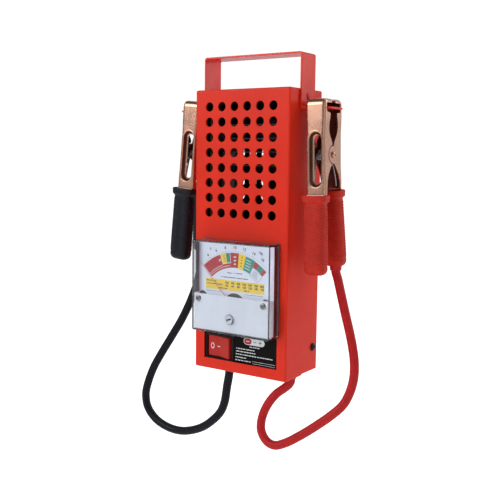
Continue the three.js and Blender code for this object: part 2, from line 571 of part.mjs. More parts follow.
function roundedBar(width, depth, [z0, z1], corner) {
  const x = width / 2, y = depth / 2;
  const shape = new THREE.Shape();
  shape.moveTo(-x + corner, -y);
  shape.lineTo(x - corner, -y);
  shape.absarc(x - corner, -y + corner, corner, -Math.PI / 2, 0);
  shape.absarc(x - corner, y - corner, corner, 0, Math.PI / 2);
  shape.absarc(-x + corner, y - corner, corner, Math.PI / 2, Math.PI);
  shape.absarc(-x + corner, -y + corner, corner, Math.PI, 1.5 * Math.PI);
  const options = { depth: z1 - z0, bevelEnabled: false, curveSegments: 4 };
  return solid(new THREE.ExtrudeGeometry(shape, options).translate(0, 0, z0));
}

function grip(tiltDeg, yTop, [zTop, zEnd]) {
  const length = zTop - zEnd;
  const bar = roundedBar(GRIP.width, GRIP.depth, [-length, 0], 5);
  const collar = roundedBar(GRIP.collarWidth, GRIP.collarDepth, [-6, 0], 6);
  const made = bar.add(collar).rotate([-tiltDeg, 0, 0]).translate([0, yTop, zTop]);
  return made.subtract(tongue(tiltDeg, GAP));
}

// Torsion spring round the pin, with one leg down each half.
function torsionSpring() {
  const turns = 3, radius = 4.6, points = [[-5.2, -9.5, -24], [-5.2, -7.5, -10]];
  for (let i = 0; i <= turns * 8; i += 1) {
    const turn = Math.PI + (2 * Math.PI * i) / 8;
    points.push([-5.2 + (10.4 * i) / (turns * 8), radius * Math.cos(turn), radius * Math.sin(turn)]);
  }
  points.push([5.2, 7.5, -10], [5.2, 12.5, -24]);
  return tube(points, 0.8, 38, 6);
}

function addClamp(name, { x, z, leanDeg, colour }) {
  const rubber = new THREE.MeshStandardMaterial({ color: colour, roughness: 0.6 });
  const clamp = new THREE.Group();
  clamp.position.set(x, 0, z);
  clamp.rotation.y = THREE.MathUtils.degToRad(leanDeg);
  tester.add(clamp);
  piece(`${name}_jaw_front`, clampHalf(true).add(tongue(0, 0)), copper, clamp);
  piece(`${name}_grip_front`, grip(0, -16.3, [-37.5, -110]), rubber, clamp);
  const turned = clampHalf(false).add(tongue(6.3, 0)).rotate([0, 0, 180]);
  piece(`${name}_jaw_rear`, turned, copper, clamp);
  piece(`${name}_grip_rear`, grip(6.3, -14, [-33.5, -106.5]).rotate([0, 0, 180]), rubber, clamp);
  const pin = joined([rod("x", [-11, 11], [0, 0], PIN_R, 14),
    rod("x", [-11.7, -10.45], [0, 0], 3.3, 16, 4), rod("x", [10.45, 11.7], [0, 0], 3.3, 16, 4)]);
  piece(`${name}_pivot_pin`, pin, copper, clamp);
  piece(`${name}_spring`, torsionSpring(), steel, clamp);
}

for (const [name, sizes] of Object.entries(CLAMPS)) addClamp(name, sizes);

export default tester;
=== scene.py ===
import json
import math
import random

import bmesh
import bpy
import numpy as np
from mathutils import Matrix, Vector


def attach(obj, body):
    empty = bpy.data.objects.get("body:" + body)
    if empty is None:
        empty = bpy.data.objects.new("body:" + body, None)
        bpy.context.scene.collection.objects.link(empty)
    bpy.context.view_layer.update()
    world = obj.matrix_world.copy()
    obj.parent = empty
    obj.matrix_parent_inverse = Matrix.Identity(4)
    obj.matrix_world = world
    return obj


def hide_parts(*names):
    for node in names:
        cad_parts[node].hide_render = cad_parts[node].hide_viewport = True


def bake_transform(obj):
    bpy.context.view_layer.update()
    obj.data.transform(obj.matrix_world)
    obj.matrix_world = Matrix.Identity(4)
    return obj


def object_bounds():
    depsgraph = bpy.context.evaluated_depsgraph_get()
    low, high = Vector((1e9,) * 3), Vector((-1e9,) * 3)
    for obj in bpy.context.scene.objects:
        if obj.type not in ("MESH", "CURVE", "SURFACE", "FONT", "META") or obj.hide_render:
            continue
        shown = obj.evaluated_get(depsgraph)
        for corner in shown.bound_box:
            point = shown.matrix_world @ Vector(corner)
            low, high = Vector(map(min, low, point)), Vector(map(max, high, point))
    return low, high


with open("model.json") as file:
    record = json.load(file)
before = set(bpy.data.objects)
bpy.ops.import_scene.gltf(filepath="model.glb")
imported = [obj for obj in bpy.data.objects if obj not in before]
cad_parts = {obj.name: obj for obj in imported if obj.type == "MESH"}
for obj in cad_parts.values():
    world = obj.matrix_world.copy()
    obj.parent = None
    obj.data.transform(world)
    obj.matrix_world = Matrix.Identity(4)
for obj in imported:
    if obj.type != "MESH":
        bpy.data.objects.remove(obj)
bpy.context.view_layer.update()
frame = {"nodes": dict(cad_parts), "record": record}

MM = 0.001
TAU = 2 * math.pi

# ---- sizes in millimetres, as in the CAD part ----
CASE_W, CASE_D = 107.0, 58.5
CASE_TOP, CASE_FLOOR, SKIRT = -31.2, -303.4, 1.8
SIDE, FRONT, BACK = CASE_W / 2, -CASE_D / 2, CASE_D / 2
SHEET, GAP = 1.5, 0.3
VENT_PITCH, VENT_R, VENT_COLS, VENT_ROWS = 14.5, 4.5, 6, 8
VENT_X, VENT_Z = -0.67, -98.2
REAR_VENT_X, REAR_ROWS = -2.2, range(1, 5)
STRAP_W, STRAP_T, WING_TIP, WING_TOP = 25.4, 1.8, 86.0, -48.8
RIVET_Z, SIDE_SCREW_Y, SIDE_SCREW_ZS = -38.2, 21.0, (-56.2, -280.3)
METER_X, METER_W, METER_FRONT, METER_WALL = 0.6, 89.5, -47.25, 1.8
METER_TOP, METER_SPLIT, METER_BOTTOM = -174.7, -226.8, -263.7
METER_BACK = FRONT - GAP
PIVOT_Z, DIAL_FRONT = -238.0, -37.2
NEEDLE_REST_DEG, NEEDLE_L = 43.5, 56.8
MASK_SCREW_DX, MASK_SCREW_Z, ADJUSTER_Z = 37.35, -231.6, -248.4
PANEL_FRONT, PANEL_T = -25.9, 2.0
WINDOW_HALF, WINDOW_TOP, WINDOW_BOTTOM = 42.7, -190.0, -294.5
SWITCH_X, SWITCH_Z, ROCKER_HALF, ROCKER_H = -24.7, -282.2, 13.75, 10.5
ROCKER_PIVOT_Y, ROCKER_TILT_DEG = -20.0, 7.0
BLACK_EXIT, RED_EXIT, RELIEF_END = (-31.5, 0.0), (37.5, 8.0), -311.9
LOAD_RUNS, LOAD_PITCH, LOAD_HALF, LOAD_TOP, LOAD_DEPTH = 7, 13.0, 34.0, -64.0, (-12.0, 8.0)
CLAMP_W, CLAMP_T, CLAMP_FACE, PIN_R, EAR_R = 20.3, 1.5, 17.3, 2.5, 8.0
CLAMPS = {"red": (73.5, -92.0, -1.5), "black": (-73.5, -90.2, 5.0)}  # x, pivot z, lean in degrees
CORD_R = 4.4
LEAD_TOP = RELIEF_END - GAP
ROUTES = {
    "black": [
        (-31.5, 0, LEAD_TOP), (-31.5, 0, -315), (-32, 0, -319), (-34.3, 0, -331), (-37, 0, -347),
        (-41.5, 0, -358), (-50, 0, -368), (-67, 0, -381), (-92, 0, -390), (-113, 0, -390),
        (-132, 1, -384), (-144, 2, -373), (-147.5, 3, -360), (-146, 4, -349), (-139.5, 7, -329),
        (-130, 10, -311), (-118, 13, -291), (-107, 16, -272), (-97.5, 18.5, -252), (-90, 20.5, -232),
        (-85.5, 21.5, -214), (-83.7, 22, -203), (-83.5, 22, -198.4),
    ],
    "red": [
        (37.5, 8, LEAD_TOP), (37.5, 8, -314.5), (35.3, 7.6, -318.5), (30.5, 6.5, -323), (23, 4, -329.5),
        (15.5, 0, -341), (11, -3, -355), (12, -5.5, -366.5), (19.5, -7, -375.5), (29.5, -8, -377.5),
        (41, -7, -373), (57, -5, -362.5), (72, -2, -351), (86.5, 2, -338.5), (96.5, 6, -327.5),
        (101.5, 10, -315), (103.5, 13, -302), (102.5, 15.5, -288), (99.5, 17.5, -275), (95, 19.5, -261),
        (89.5, 21, -245), (83.5, 21.8, -225), (79, 22, -209), (77, 22, -203.5), (76.8, 22, -200),
    ],
}

# ---- camera ----
EYE = Vector((430.6, -656.2, -94.0)) * MM
AZIMUTH, ELEVATION, ROLL = math.radians(33.74), math.radians(6.70), math.radians(0.67)
FOCAL_RATIO = 799.2 / 500  # focal length over image width
SENSOR_MM = 36


def add_to_scene(name, data):
    obj = bpy.data.objects.new(name, data)
    bpy.context.scene.collection.objects.link(obj)
    return obj


def add_camera():
    level = math.cos(ELEVATION)
    back = Vector((math.sin(AZIMUTH) * level, -math.cos(AZIMUTH) * level, math.sin(ELEVATION)))
    right = Vector((math.cos(AZIMUTH), math.sin(AZIMUTH), 0))
    up = back.cross(right)
    turned_right = math.cos(ROLL) * right + math.sin(ROLL) * up
    turned_up = -math.sin(ROLL) * right + math.cos(ROLL) * up
    data = bpy.data.cameras.new("camera")
    data.sensor_width = SENSOR_MM
    data.lens = SENSOR_MM * FOCAL_RATIO
    data.clip_start, data.clip_end = 0.01, 50
    camera = add_to_scene("camera", data)
    axes = Matrix((turned_right, turned_up, back)).transposed().to_4x4()
    camera.matrix_world = Matrix.Translation(EYE) @ axes
    bpy.context.scene.camera = camera


add_camera()


# ---- materials ----
class Nodes:
    """A material's node tree, built by short calls. Coordinates are metres in the part's own frame."""

    def __init__(self, name, **values):
        self.material = bpy.data.materials.new(name)
        self.material.use_nodes = True
        self.tree = self.material.node_tree
        self.shader = self.tree.nodes["Principled BSDF"]
        self.place = self.add("ShaderNodeTexCoord").outputs["Object"]
        for socket, value in values.items():
            self.set(self.shader, socket.replace("_", " "), value)

    def add(self, kind, **settings):
        node = self.tree.nodes.new(kind)
        for key, value in settings.items():
            setattr(node, key, value)
        return node

    def set(self, node, socket, value):
        if isinstance(value, bpy.types.NodeSocket):
            self.tree.links.new(value, node.inputs[socket])
        elif isinstance(value, tuple) and len(value) == 3 and node.inputs[socket].type == "RGBA":
            node.inputs[socket].default_value = (*value, 1)
        else:
            node.inputs[socket].default_value = value

    def stretched(self, scale):
        node = self.add("ShaderNodeMapping")
        self.set(node, "Vector", self.place)
        node.inputs["Scale"].default_value = scale
        return node.outputs["Vector"]

    def noise(self, scale, detail=4.0, rough=0.55, vector=None):
        node = self.add("ShaderNodeTexNoise")
        self.set(node, "Vector", vector or self.place)
        self.set(node, "Scale", scale)
        self.set(node, "Detail", detail)
        self.set(node, "Roughness", rough)
        return node.outputs["Fac"]

    def span(self, fac, low, high, start=0.3, end=0.7):
        node = self.add("ShaderNodeMapRange")
        for socket, value in (("Value", fac), ("From Min", start), ("From Max", end),
                              ("To Min", low), ("To Max", high)):
            self.set(node, socket, value)
        return node.outputs["Result"]

    def blend(self, fac, a, b):
        node = self.add("ShaderNodeMix", data_type="RGBA")
        for index, value in ((0, fac), (6, a), (7, b)):
            if isinstance(value, bpy.types.NodeSocket):
                self.tree.links.new(value, node.inputs[index])
            else:
                node.inputs[index].default_value = (*value, 1) if isinstance(value, tuple) else value
        return node.outputs[2]

    def bump(self, height, strength, depth_mm, under=None):
        node = self.add("ShaderNodeBump")
        self.set(node, "Height", height)
        self.set(node, "Strength", strength)
        self.set(node, "Distance", depth_mm * MM)
        if under:
            self.set(node, "Normal", under)
        return node.outputs["Normal"]

    def finish(self, colour=None, roughness=None, normal=None):
        for socket, value in (("Base Color", colour), ("Roughness", roughness), ("Normal", normal)):
            if value is not None:
                self.set(self.shader, socket, value)
        return self.material


def shade(colour, share):
    return tuple(min(1.0, c * share) for c in colour)


def powder_coat(name, colour, roughness=0.36, specular=0.22):
    """Sprayed and baked paint: orange peel, small colour drift, rare dull specks."""
    n = Nodes(name, Specular_IOR_Level=specular)
    drift = n.noise(22, 3)
    tone = n.blend(n.span(drift, 0, 1), shade(colour, 0.93), shade(colour, 1.05))
    fleck = n.span(n.noise(2600, 2), 0, 0.10, 0.62, 0.75)
    tone = n.blend(fleck, tone, shade(colour, 0.75))
    peel = n.bump(n.noise(620, 3, 0.5), 0.16, 0.05)
    grit = n.bump(n.noise(2400, 2, 0.5), 0.06, 0.02, peel)
    return n.finish(tone, n.span(n.noise(90, 4), roughness - 0.05, roughness + 0.08), grit)


def moulded(name, colour, roughness=0.4, grain=1500, depth=0.03, coat=0.0, specular=0.4):
    """Moulded plastic with a spark-eroded grain and faint flow marks."""
    n = Nodes(name, Coat_Weight=coat, Coat_Roughness=0.1, IOR=1.5, Specular_IOR_Level=specular)
    flow = n.noise(35, 3, 0.5, n.stretched((1, 1, 0.3)))
    tone = n.blend(n.span(flow, 0, 1), shade(colour, 0.94), shade(colour, 1.06))
    texture = n.bump(n.noise(grain, 3, 0.6), 0.22, depth)
    return n.finish(tone, n.span(n.noise(240, 4), roughness - 0.05, roughness + 0.07), texture)


def rubber(name, colour, roughness=0.5, grain=900, specular=0.2, relief=False):
    """Soft PVC with dusty lows and a fine grain; a relief gets painted shade in its hollows."""
    n = Nodes(name, Specular_IOR_Level=specular)
    dust = n.noise(160, 5)
    tone = n.blend(n.span(dust, 0, 1), shade(colour, 0.86), shade(colour, 1.12))
    # painted shade: the hollows of the relief are darkened as if shade fell in them
    if relief:
        height = n.add("ShaderNodeAttribute", attribute_name="relief").outputs["Fac"]
        tone = n.blend(n.span(height, 0.75, 0.0, -0.7, 0.3), tone, shade(colour, 0.35))
    texture = n.bump(n.noise(grain, 4, 0.6), 0.3, 0.05)
    return n.finish(tone, n.span(n.noise(300, 4), roughness - 0.08, roughness + 0.1), texture)


def metal(name, colour, roughness=0.3, stretch=(1, 1, 0.06), stain=0.75, grain=1400):
    """Rolled or plated metal: drawn lines, cloudy plating and small dark stains."""
    n = Nodes(name, Metallic=1.0)
    cloud = n.noise(60, 5, 0.6)
    tone = n.blend(n.span(cloud, 0, 1), shade(colour, 0.88), shade(colour, 1.06))
    spots = n.span(n.noise(420, 4, 0.65), 0, 0.55, 0.58, 0.74)
    tone = n.blend(spots, tone, shade(colour, stain))
    lines = n.noise(grain, 3, 0.5, n.stretched(stretch))
    texture = n.bump(lines, 0.12, 0.03)
    return n.finish(tone, n.span(n.noise(120, 5), roughness - 0.07, roughness + 0.12), texture)


def plated(name, colour, roughness=0.3):
    """Satin copper plate: soft clouds of tone, faint rolling lines and rare tarnish."""
    n = Nodes(name, Metallic=1.0)
    tone = n.blend(n.span(n.noise(45, 3), 0, 1), shade(colour, 0.93), shade(colour, 1.04))
    tarnish = n.span(n.noise(300, 5, 0.6), 0, 0.25, 0.7, 0.85)
    tone = n.blend(tarnish, tone, shade(colour, 0.6))
    lines = n.noise(900, 2, 0.5, n.stretched((1, 1, 0.05)))
    texture = n.bump(lines, 0.06, 0.02)
    return n.finish(tone, n.span(n.noise(80, 4), roughness - 0.04, roughness + 0.07), texture)


def printed(name, colour, roughness=0.35):
    """A screen-printed colour, a little uneven in its ink."""
    n = Nodes(name)
    tone = n.blend(n.span(n.noise(700, 3), 0, 1), shade(colour, 0.94), shade(colour, 1.04))
    return n.finish(tone, n.span(n.noise(900, 2), roughness - 0.04, roughness + 0.06),
                    n.bump(n.noise(3000, 2), 0.08, 0.01))


def clear_plastic(name):
    """Clear moulded styrene that lamps shine through, with faint handling marks."""
    n = Nodes(name, Base_Color=(0.97, 0.985, 1.0), Transmission_Weight=1.0, IOR=1.49, Roughness=0.03)
    smear = n.span(n.noise(60, 5), 0.015, 0.06, 0.45, 0.75)
    n.set(n.shader, "Roughness", smear)
    n.set(n.shader, "Normal", n.bump(n.noise(26, 2), 0.05, 0.2))
    path = n.add("ShaderNodeLightPath")
    through = n.add("ShaderNodeBsdfTransparent")
    mix = n.add("ShaderNodeMixShader")
    n.tree.links.new(path.outputs["Is Shadow Ray"], mix.inputs[0])
    n.tree.links.new(n.shader.outputs[0], mix.inputs[1])
    n.tree.links.new(through.outputs[0], mix.inputs[2])
    n.tree.links.new(mix.outputs[0], n.tree.nodes["Material Output"].inputs["Surface"])
    return n.material


def fibre_board(name, colour):
    n = Nodes(name)
    weave = n.noise(500, 5, 0.7, n.stretched((1, 0.15, 1)))
    tone = n.blend(n.span(weave, 0, 1), shade(colour, 0.75), shade(colour, 1.15))
    return n.finish(tone, 0.8, n.bump(weave, 0.4, 0.05))


RED = (0.81, 0.028, 0.008)
LOOK = {
    "paint": powder_coat("case_paint", RED),
    "gloss_paint": powder_coat("handle_paint", RED, 0.2, 0.4),
    "black_screw": metal("black_screw", (0.035, 0.035, 0.04), 0.38, stain=0.6),
    "black": moulded("black_plastic", (0.009, 0.009, 0.010), 0.5, specular=0.2),
    "label": moulded("label_film", (0.007, 0.0065, 0.006), 0.45, 2200, 0.01, specular=0.06),
    "rocker": moulded("rocker_red", (0.52, 0.022, 0.014), 0.36, 1800, 0.02, specular=0.25),
    "mask": moulded("mask_white", (0.66, 0.70, 0.80), 0.30, 1300, 0.012, 0.35),
    "dial": printed("dial_white", (0.72, 0.78, 0.92), 0.4),
    "clear": clear_plastic("clear_cover"),
    "needle": printed("needle_red", (0.62, 0.16, 0.14)),
    "steel": metal("zinc_steel", (0.50, 0.50, 0.52), 0.3),
    "black_steel": metal("black_steel", (0.03, 0.03, 0.035), 0.45),
    "resistor": metal("resistor_strip", (0.16, 0.15, 0.15), 0.5, (0.06, 1, 1)),
    "brass": metal("brass", (0.72, 0.52, 0.22), 0.3),
    "copper_wire": metal("enamelled_copper", (0.62, 0.22, 0.10), 0.35, (1, 0.05, 1)),
    "fibre": fibre_board("fibre_board", (0.035, 0.022, 0.016)),
    "copper": plated("copper_plate", (0.66, 0.37, 0.265), 0.26),
    # painted shade for the inside of the jaws' channels
    "copper_painted_shade": metal("copper_inside_painted_shade", (0.16, 0.075, 0.055), 0.5),
    "red_cable": rubber("red_cable", (0.53, 0.016, 0.018), 0.38),
    "black_cable": rubber("black_cable", (0.007, 0.008, 0.013), 0.36, specular=0.16),
    "red_grip": rubber("red_grip", (0.66, 0.030, 0.016), 0.48, 1300, relief=True),
    "black_grip": rubber("black_grip", (0.010, 0.011, 0.018), 0.42, 1300, 0.2, True),
    "ink_red": printed("ink_red", (0.44, 0.010, 0.016)),
    "ink_yellow": printed("ink_yellow", (0.86, 0.60, 0.015)),
    "ink_teal": printed("ink_teal", (0.008, 0.27, 0.21)),
    "ink_black": printed("ink_black", (0.006, 0.006, 0.012)),
    "ink_white": printed("ink_white", (0.80, 0.82, 0.86)),
    "mark_white": moulded("mark_white_plastic", (0.85, 0.85, 0.85), 0.4),
    # painted shade for the inner faces of the case and cover, where no light reaches
    "case_painted_shade": powder_coat("case_inside_painted_shade", (0.016, 0.013, 0.013), 0.7),
    # dark rubber for the meter's gasket, also used as painted shade in the meter strip and in screw and
    # adjuster recesses
    "seal_and_painted_shade": rubber("dark_seal_and_painted_shade", (0.035, 0.038, 0.05), 0.6),
}


# ---- mesh helpers; every length here is in millimetres ----
def spin(degrees, axis):
    return Matrix.Rotation(math.radians(degrees), 4, axis)


def shift(x, y, z):
    return Matrix.Translation((x, y, z))


def quarter(count):
    """Angles from 0 to a right angle."""
    return np.linspace(0, math.pi / 2, count)


def dome(radius, base, rise, count):
    """The profile of a rounded head, from its rim to the axis."""
    arc = [(radius * math.cos(a), base + rise * math.sin(a)) for a in quarter(count)[:-1]]
    return arc + [(0, base + rise)]


def to_object(name, bm, look, body=None, stands_for=(), smooth_deg=38, place=None):
    """Links a bmesh made in millimetres as one finished piece, in metres."""
    bmesh.ops.recalc_face_normals(bm, faces=bm.faces)
    matrix = Matrix.Scale(MM, 4) @ (place or Matrix.Identity(4))
    bm.transform(matrix)
    data = bpy.data.meshes.new(name)
    bm.to_mesh(data)
    bm.free()
    data.materials.append(LOOK[look])
    data.shade_smooth()
    data.set_sharp_from_angle(angle=math.radians(smooth_deg))
    obj = add_to_scene(name, data)
    return dress(obj, body, stands_for) if body else obj


def dress(obj, body, stands_for=()):
    """Says which body a finished piece rides on, and the CAD nodes that it stands for."""
    normals = obj.modifiers.new("normals", "WEIGHTED_NORMAL")
    normals.keep_sharp = True
    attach(obj, body)
    if stands_for:
        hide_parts(*stands_for)
    return obj


def settle(obj, smooth_deg=38):
    """Applies the modifiers, so that the mesh itself is final."""
    graph = bpy.context.evaluated_depsgraph_get()
    graph.update()
    data = bpy.data.meshes.new_from_object(obj.evaluated_get(graph))
    obj.modifiers.clear()
    obj.data = data
    data.shade_smooth()
    data.set_sharp_from_angle(angle=math.radians(smooth_deg))
    return obj


def edge_round(obj, width, segments=2, angle_deg=35):
    bevel = obj.modifiers.new("round", "BEVEL")
    bevel.width = width * MM
    bevel.segments = segments
    bevel.limit_method = "ANGLE"
    bevel.angle_limit = math.radians(angle_deg)
    bevel.harden_normals = False
    return obj


def cut(obj, bm, place=None):
    """Cuts a bmesh in millimetres out of a piece, and removes the cutter."""
    cutter = to_object("cutter", bm, "steel", place=place)
    boolean = obj.modifiers.new("cut", "BOOLEAN")
    boolean.object = cutter
    boolean.operation = "DIFFERENCE"
    boolean.solver = "EXACT"
    settle(obj)
    bpy.data.objects.remove(cutter)
    return obj


def add_box(bm, low, high, radius=0.0, segments=3):
    """A box between two corners, with all its edges rounded."""
    size = [h - l for l, h in zip(low, high)]
    middle = [(h + l) / 2 for l, h in zip(low, high)]
    place = Matrix.Translation(middle) @ Matrix.Diagonal((*size, 1))
    made = bmesh.ops.create_cube(bm, size=1.0, matrix=place)
    if radius:
        edges = dict.fromkeys(e for v in made["verts"] for e in v.link_edges)
        bmesh.ops.bevel(bm, geom=list(edges), offset=radius, segments=segments, profile=0.5,
                        affect="EDGES", clamp_overlap=True)
    return bm


def add_rod(bm, axis, ends, centre, radius, sides=40, rim=0.0):
    """A cylinder along x, y or z, from one end to the other, with rounded rims."""
    turn = {"x": spin(90, "Y"), "y": spin(-90, "X"),
            "z": Matrix.Identity(4)}[axis]
    a, b = ends
    u, v = centre
    middle = {"x": ((a + b) / 2, u, v), "y": (u, (a + b) / 2, v), "z": (u, v, (a + b) / 2)}[axis]
    made = bmesh.ops.create_cone(bm, cap_ends=True, segments=sides, radius1=radius, radius2=radius,
                                 depth=b - a, matrix=Matrix.Translation(middle) @ turn)
    if rim:
        edges = dict.fromkeys(e for v in made["verts"] for e in v.link_edges if e.calc_face_angle(0) > 0.9)
        bmesh.ops.bevel(bm, geom=list(edges), offset=rim, segments=3, profile=0.5, affect="EDGES")
    return bm


def add_lathe(bm, profile, sides=48, place=None):
    """Turns (radius, height) points about Z; the profile starts and ends on the axis."""
    turns = [TAU * i / sides for i in range(sides)]
    rings = []
    for radius, height in profile:
        if radius < 1e-6:
            rings.append([bm.verts.new((0, 0, height))])
        else:
            circle = [(radius * math.cos(t), radius * math.sin(t), height) for t in turns]
            rings.append([bm.verts.new(point) for point in circle])
    for lower, upper in zip(rings, rings[1:]):
        for i in range(sides):
            j = (i + 1) % sides
            unique = list(dict.fromkeys((lower[i % len(lower)], lower[j % len(lower)],
                                         upper[j % len(upper)], upper[i % len(upper)])))
            if len(unique) > 2:
                bm.faces.new(unique)
    made = [v for ring in rings for v in ring]
    if place:
        bmesh.ops.transform(bm, matrix=place, verts=made)
    return bm


def add_loft(bm, rings):
    """Joins rings of points, given as arrays of the same length, into a skin, with flat caps."""
    made = [[bm.verts.new(p) for p in ring] for ring in rings]
    count = len(made[0])
    for lower, upper in zip(made, made[1:]):
        for i in range(count):
            j = (i + 1) % count
            bm.faces.new((lower[i], lower[j], upper[j], upper[i]))
    bm.faces.new(list(reversed(made[0])))
    bm.faces.new(made[-1])
    return bm


def smooth_path(points, step):
    """A centripetal Catmull-Rom curve through the points, resampled at even steps."""
    p = np.array(points, float)
    p = np.vstack([2 * p[0] - p[1], p, 2 * p[-1] - p[-2]])
    out = []
    for i in range(1, len(p) - 2):
        p0, p1, p2, p3 = p[i - 1:i + 3]
        t0 = 0.0
        t1 = t0 + np.linalg.norm(p1 - p0) ** 0.5
        t2 = t1 + np.linalg.norm(p2 - p1) ** 0.5
        t3 = t2 + np.linalg.norm(p3 - p2) ** 0.5
        for t in np.linspace(t1, t2, 12, endpoint=False):
            a1 = (t1 - t) / (t1 - t0) * p0 + (t - t0) / (t1 - t0) * p1
            a2 = (t2 - t) / (t2 - t1) * p1 + (t - t1) / (t2 - t1) * p2
            a3 = (t3 - t) / (t3 - t2) * p2 + (t - t2) / (t3 - t2) * p3
            b1 = (t2 - t) / (t2 - t0) * a1 + (t - t0) / (t2 - t0) * a2
            b2 = (t3 - t) / (t3 - t1) * a2 + (t - t1) / (t3 - t1) * a3
            out.append((t2 - t) / (t2 - t1) * b1 + (t - t1) / (t2 - t1) * b2)
    out.append(p[-2])
    out = np.array(out)
    run = np.concatenate([[0], np.cumsum(np.linalg.norm(np.diff(out, axis=0), axis=1))])
    even = np.linspace(0, run[-1], max(2, int(round(run[-1] / step)) + 1))
    return np.stack([np.interp(even, run, out[:, k]) for k in range(3)], 1), run[-1]


def add_tube(bm, path, radius, sides=20):
    """A closed round tube along a path, its sections carried along without twist."""
    tangents = np.gradient(path, axis=0)
    tangents /= np.linalg.norm(tangents, axis=1)[:, None]
    normal = np.cross(tangents[0], (0, 1, 0) if abs(tangents[0][1]) < 0.9 else (1, 0, 0))
    rings = []
    for point, tangent in zip(path, tangents):
        normal = normal - tangent * (normal @ tangent)
        normal /= np.linalg.norm(normal)
        side = np.cross(tangent, normal)
        turns = TAU * np.arange(sides) / sides
        rings.append(point + radius * (np.outer(np.cos(turns), normal) + np.outer(np.sin(turns), side)))
    return add_loft(bm, rings)


def join_in(target, source):
    """Moves a bmesh's shells into another one."""
    data = bpy.data.meshes.new("part")
    source.to_mesh(data)
    source.free()
    target.from_mesh(data)
    bpy.data.meshes.remove(data)
    return target


def add_plate(bm, outline, y_front, thickness):
    """A flat outline of (x, z) points, made solid from y_front backwards."""
    front = [bm.verts.new((x, y_front, z)) for x, z in outline]
    back = [bm.verts.new((x, y_front + thickness, z)) for x, z in outline]
    bm.faces.new(front)
    bm.faces.new(list(reversed(back)))
    for i in range(len(outline)):
        j = (i + 1) % len(outline)
        bm.faces.new((front[j], front[i], back[i], back[j]))
    return bm


def strip_outline(points, fillet, thickness):
    """Both edges of a strip bent along a line of points, with round bends, as one closed outline."""
    line = [Vector(points[0])]
    for a, b, c in zip(points, points[1:], points[2:]):
        a, b, c = Vector(a), Vector(b), Vector(c)
        inward, outward = (a - b).normalized(), (c - b).normalized()
        half = inward.angle(outward) / 2
        reach = fillet / math.tan(half)
        centre = b + (inward + outward).normalized() * (fillet / math.sin(half))
        start, end = b + inward * reach - centre, b + outward * reach - centre
        sweep = start.angle_signed(end)
        for i in range(9):
            turned = start.copy()
            turned.rotate(Matrix.Rotation(-sweep * i / 8, 2))
            line.append(centre + turned)
    line.append(Vector(points[-1]))
    left, right = [], []
    for i, point in enumerate(line):
        ahead = line[min(i + 1, len(line) - 1)] - line[max(i - 1, 0)]
        normal = Vector((-ahead.y, ahead.x)).normalized() * thickness / 2
        left.append(point + normal)
        right.append(point - normal)
    return [tuple(p) for p in left + right[::-1]]


def tray(name, low, high, wall, open_sides, radius, look, segments=4):
    """A box with some sides left out and its other edges bent round, with walls of even thickness."""
    bm = bmesh.new()
    add_box(bm, low, high)
    bm.normal_update()
    gone = [f for f in bm.faces if any(f.normal.dot(Vector(n)) > 0.9 for n in open_sides)]
    bmesh.ops.delete(bm, geom=gone, context="FACES_ONLY")
    inner = [e for e in bm.edges if len(e.link_faces) == 2]
    bmesh.ops.bevel(bm, geom=inner, offset=radius, segments=segments, profile=0.5, affect="EDGES")
    loose = [e for e in bm.edges if not e.link_faces]
    bmesh.ops.delete(bm, geom=loose, context="EDGES")
    obj = to_object(name, bm, look)
    thick = obj.modifiers.new("wall", "SOLIDIFY")
    thick.thickness = wall * MM
    thick.offset = -1
    thick.use_even_offset = True
    return settle(obj)


def paint_shade_inside(obj, look, inside, place=None):
    """Paints shade on the faces whose centres pass a test, in millimetres, with a second, darker material.
    """
    back = (place or Matrix.Identity(4)).inverted()
    obj.data.materials.append(LOOK[look])
    for face in obj.data.polygons:
        if inside(back @ (face.center / MM)):
            face.material_index = len(obj.data.materials) - 1


# Tests for the inner faces of the case and of its cover, which get painted shade.
def in_case(point):
    return (abs(point.x) < SIDE - SHEET + 0.1 and point.y > FRONT + SHEET - 0.1 and point.y < BACK - 1.4
            and point.z < CASE_TOP - SHEET + 0.1)


def in_cover(point):
    return (abs(point.x) < SIDE - 2 * SHEET and point.y < BACK - SHEET + 0.1
            and point.z < CASE_TOP - 2 * SHEET)


def vent_rods(ends, rows, middle):
    bm = bmesh.new()
    for row in rows:
        for col in range(VENT_COLS):
            x = middle + (col - (VENT_COLS - 1) / 2) * VENT_PITCH
            z = VENT_Z + (row - (VENT_ROWS - 1) / 2) * VENT_PITCH
            add_rod(bm, "y", ends, (x, z), VENT_R, 40)
    return bm


# ---- leads: first of all the pieces ----
def add_lead(colour):
    route, length = smooth_path(ROUTES[colour], 2.4)
    bm = add_tube(bmesh.new(), route, CORD_R, 24)
    lead = to_object(f"{colour}_lead", bm, f"{colour}_cable", smooth_deg=60)
    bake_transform(lead)
    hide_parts(f"lead_{colour}")


for lead_colour in ROUTES:
    add_lead(lead_colour)


def add_relief(colour, centre):
    """Moulded strain relief: flange, ribbed neck and a soft lip where the lead comes out."""
    x, y = centre
    flange = CASE_FLOOR - GAP
    profile = [(0, CASE_FLOOR + 4), (7.2, CASE_FLOOR + 4), (7.6, CASE_FLOOR + 3.4),
               (7.6, CASE_FLOOR + 1.8), (5.7, CASE_FLOOR + 1.8), (5.7, flange), (7.3, flange),
               (7.6, flange - 0.4), (7.6, flange - 1.6), (7.2, flange - 2), (6.3, flange - 2.2)]
    for rib in range(4):
        top = flange - 2.2 - 1.4 * rib
        for out, down in ((6.2, 0.1), (6.1, 0.8), (5.5, 0.9), (5.5, 1.3)):
            profile.append((out - 0.2 * rib, top - down))
    profile += [(5.0, RELIEF_END), (0, RELIEF_END)]
    bm = add_lathe(bmesh.new(), profile, 48, shift(x, y, 0))
    to_object(f"{colour}_relief", bm, f"{colour}_cable", "case",
              [f"strain_relief_{colour}"])


add_relief("black", BLACK_EXIT)
add_relief("red", RED_EXIT)


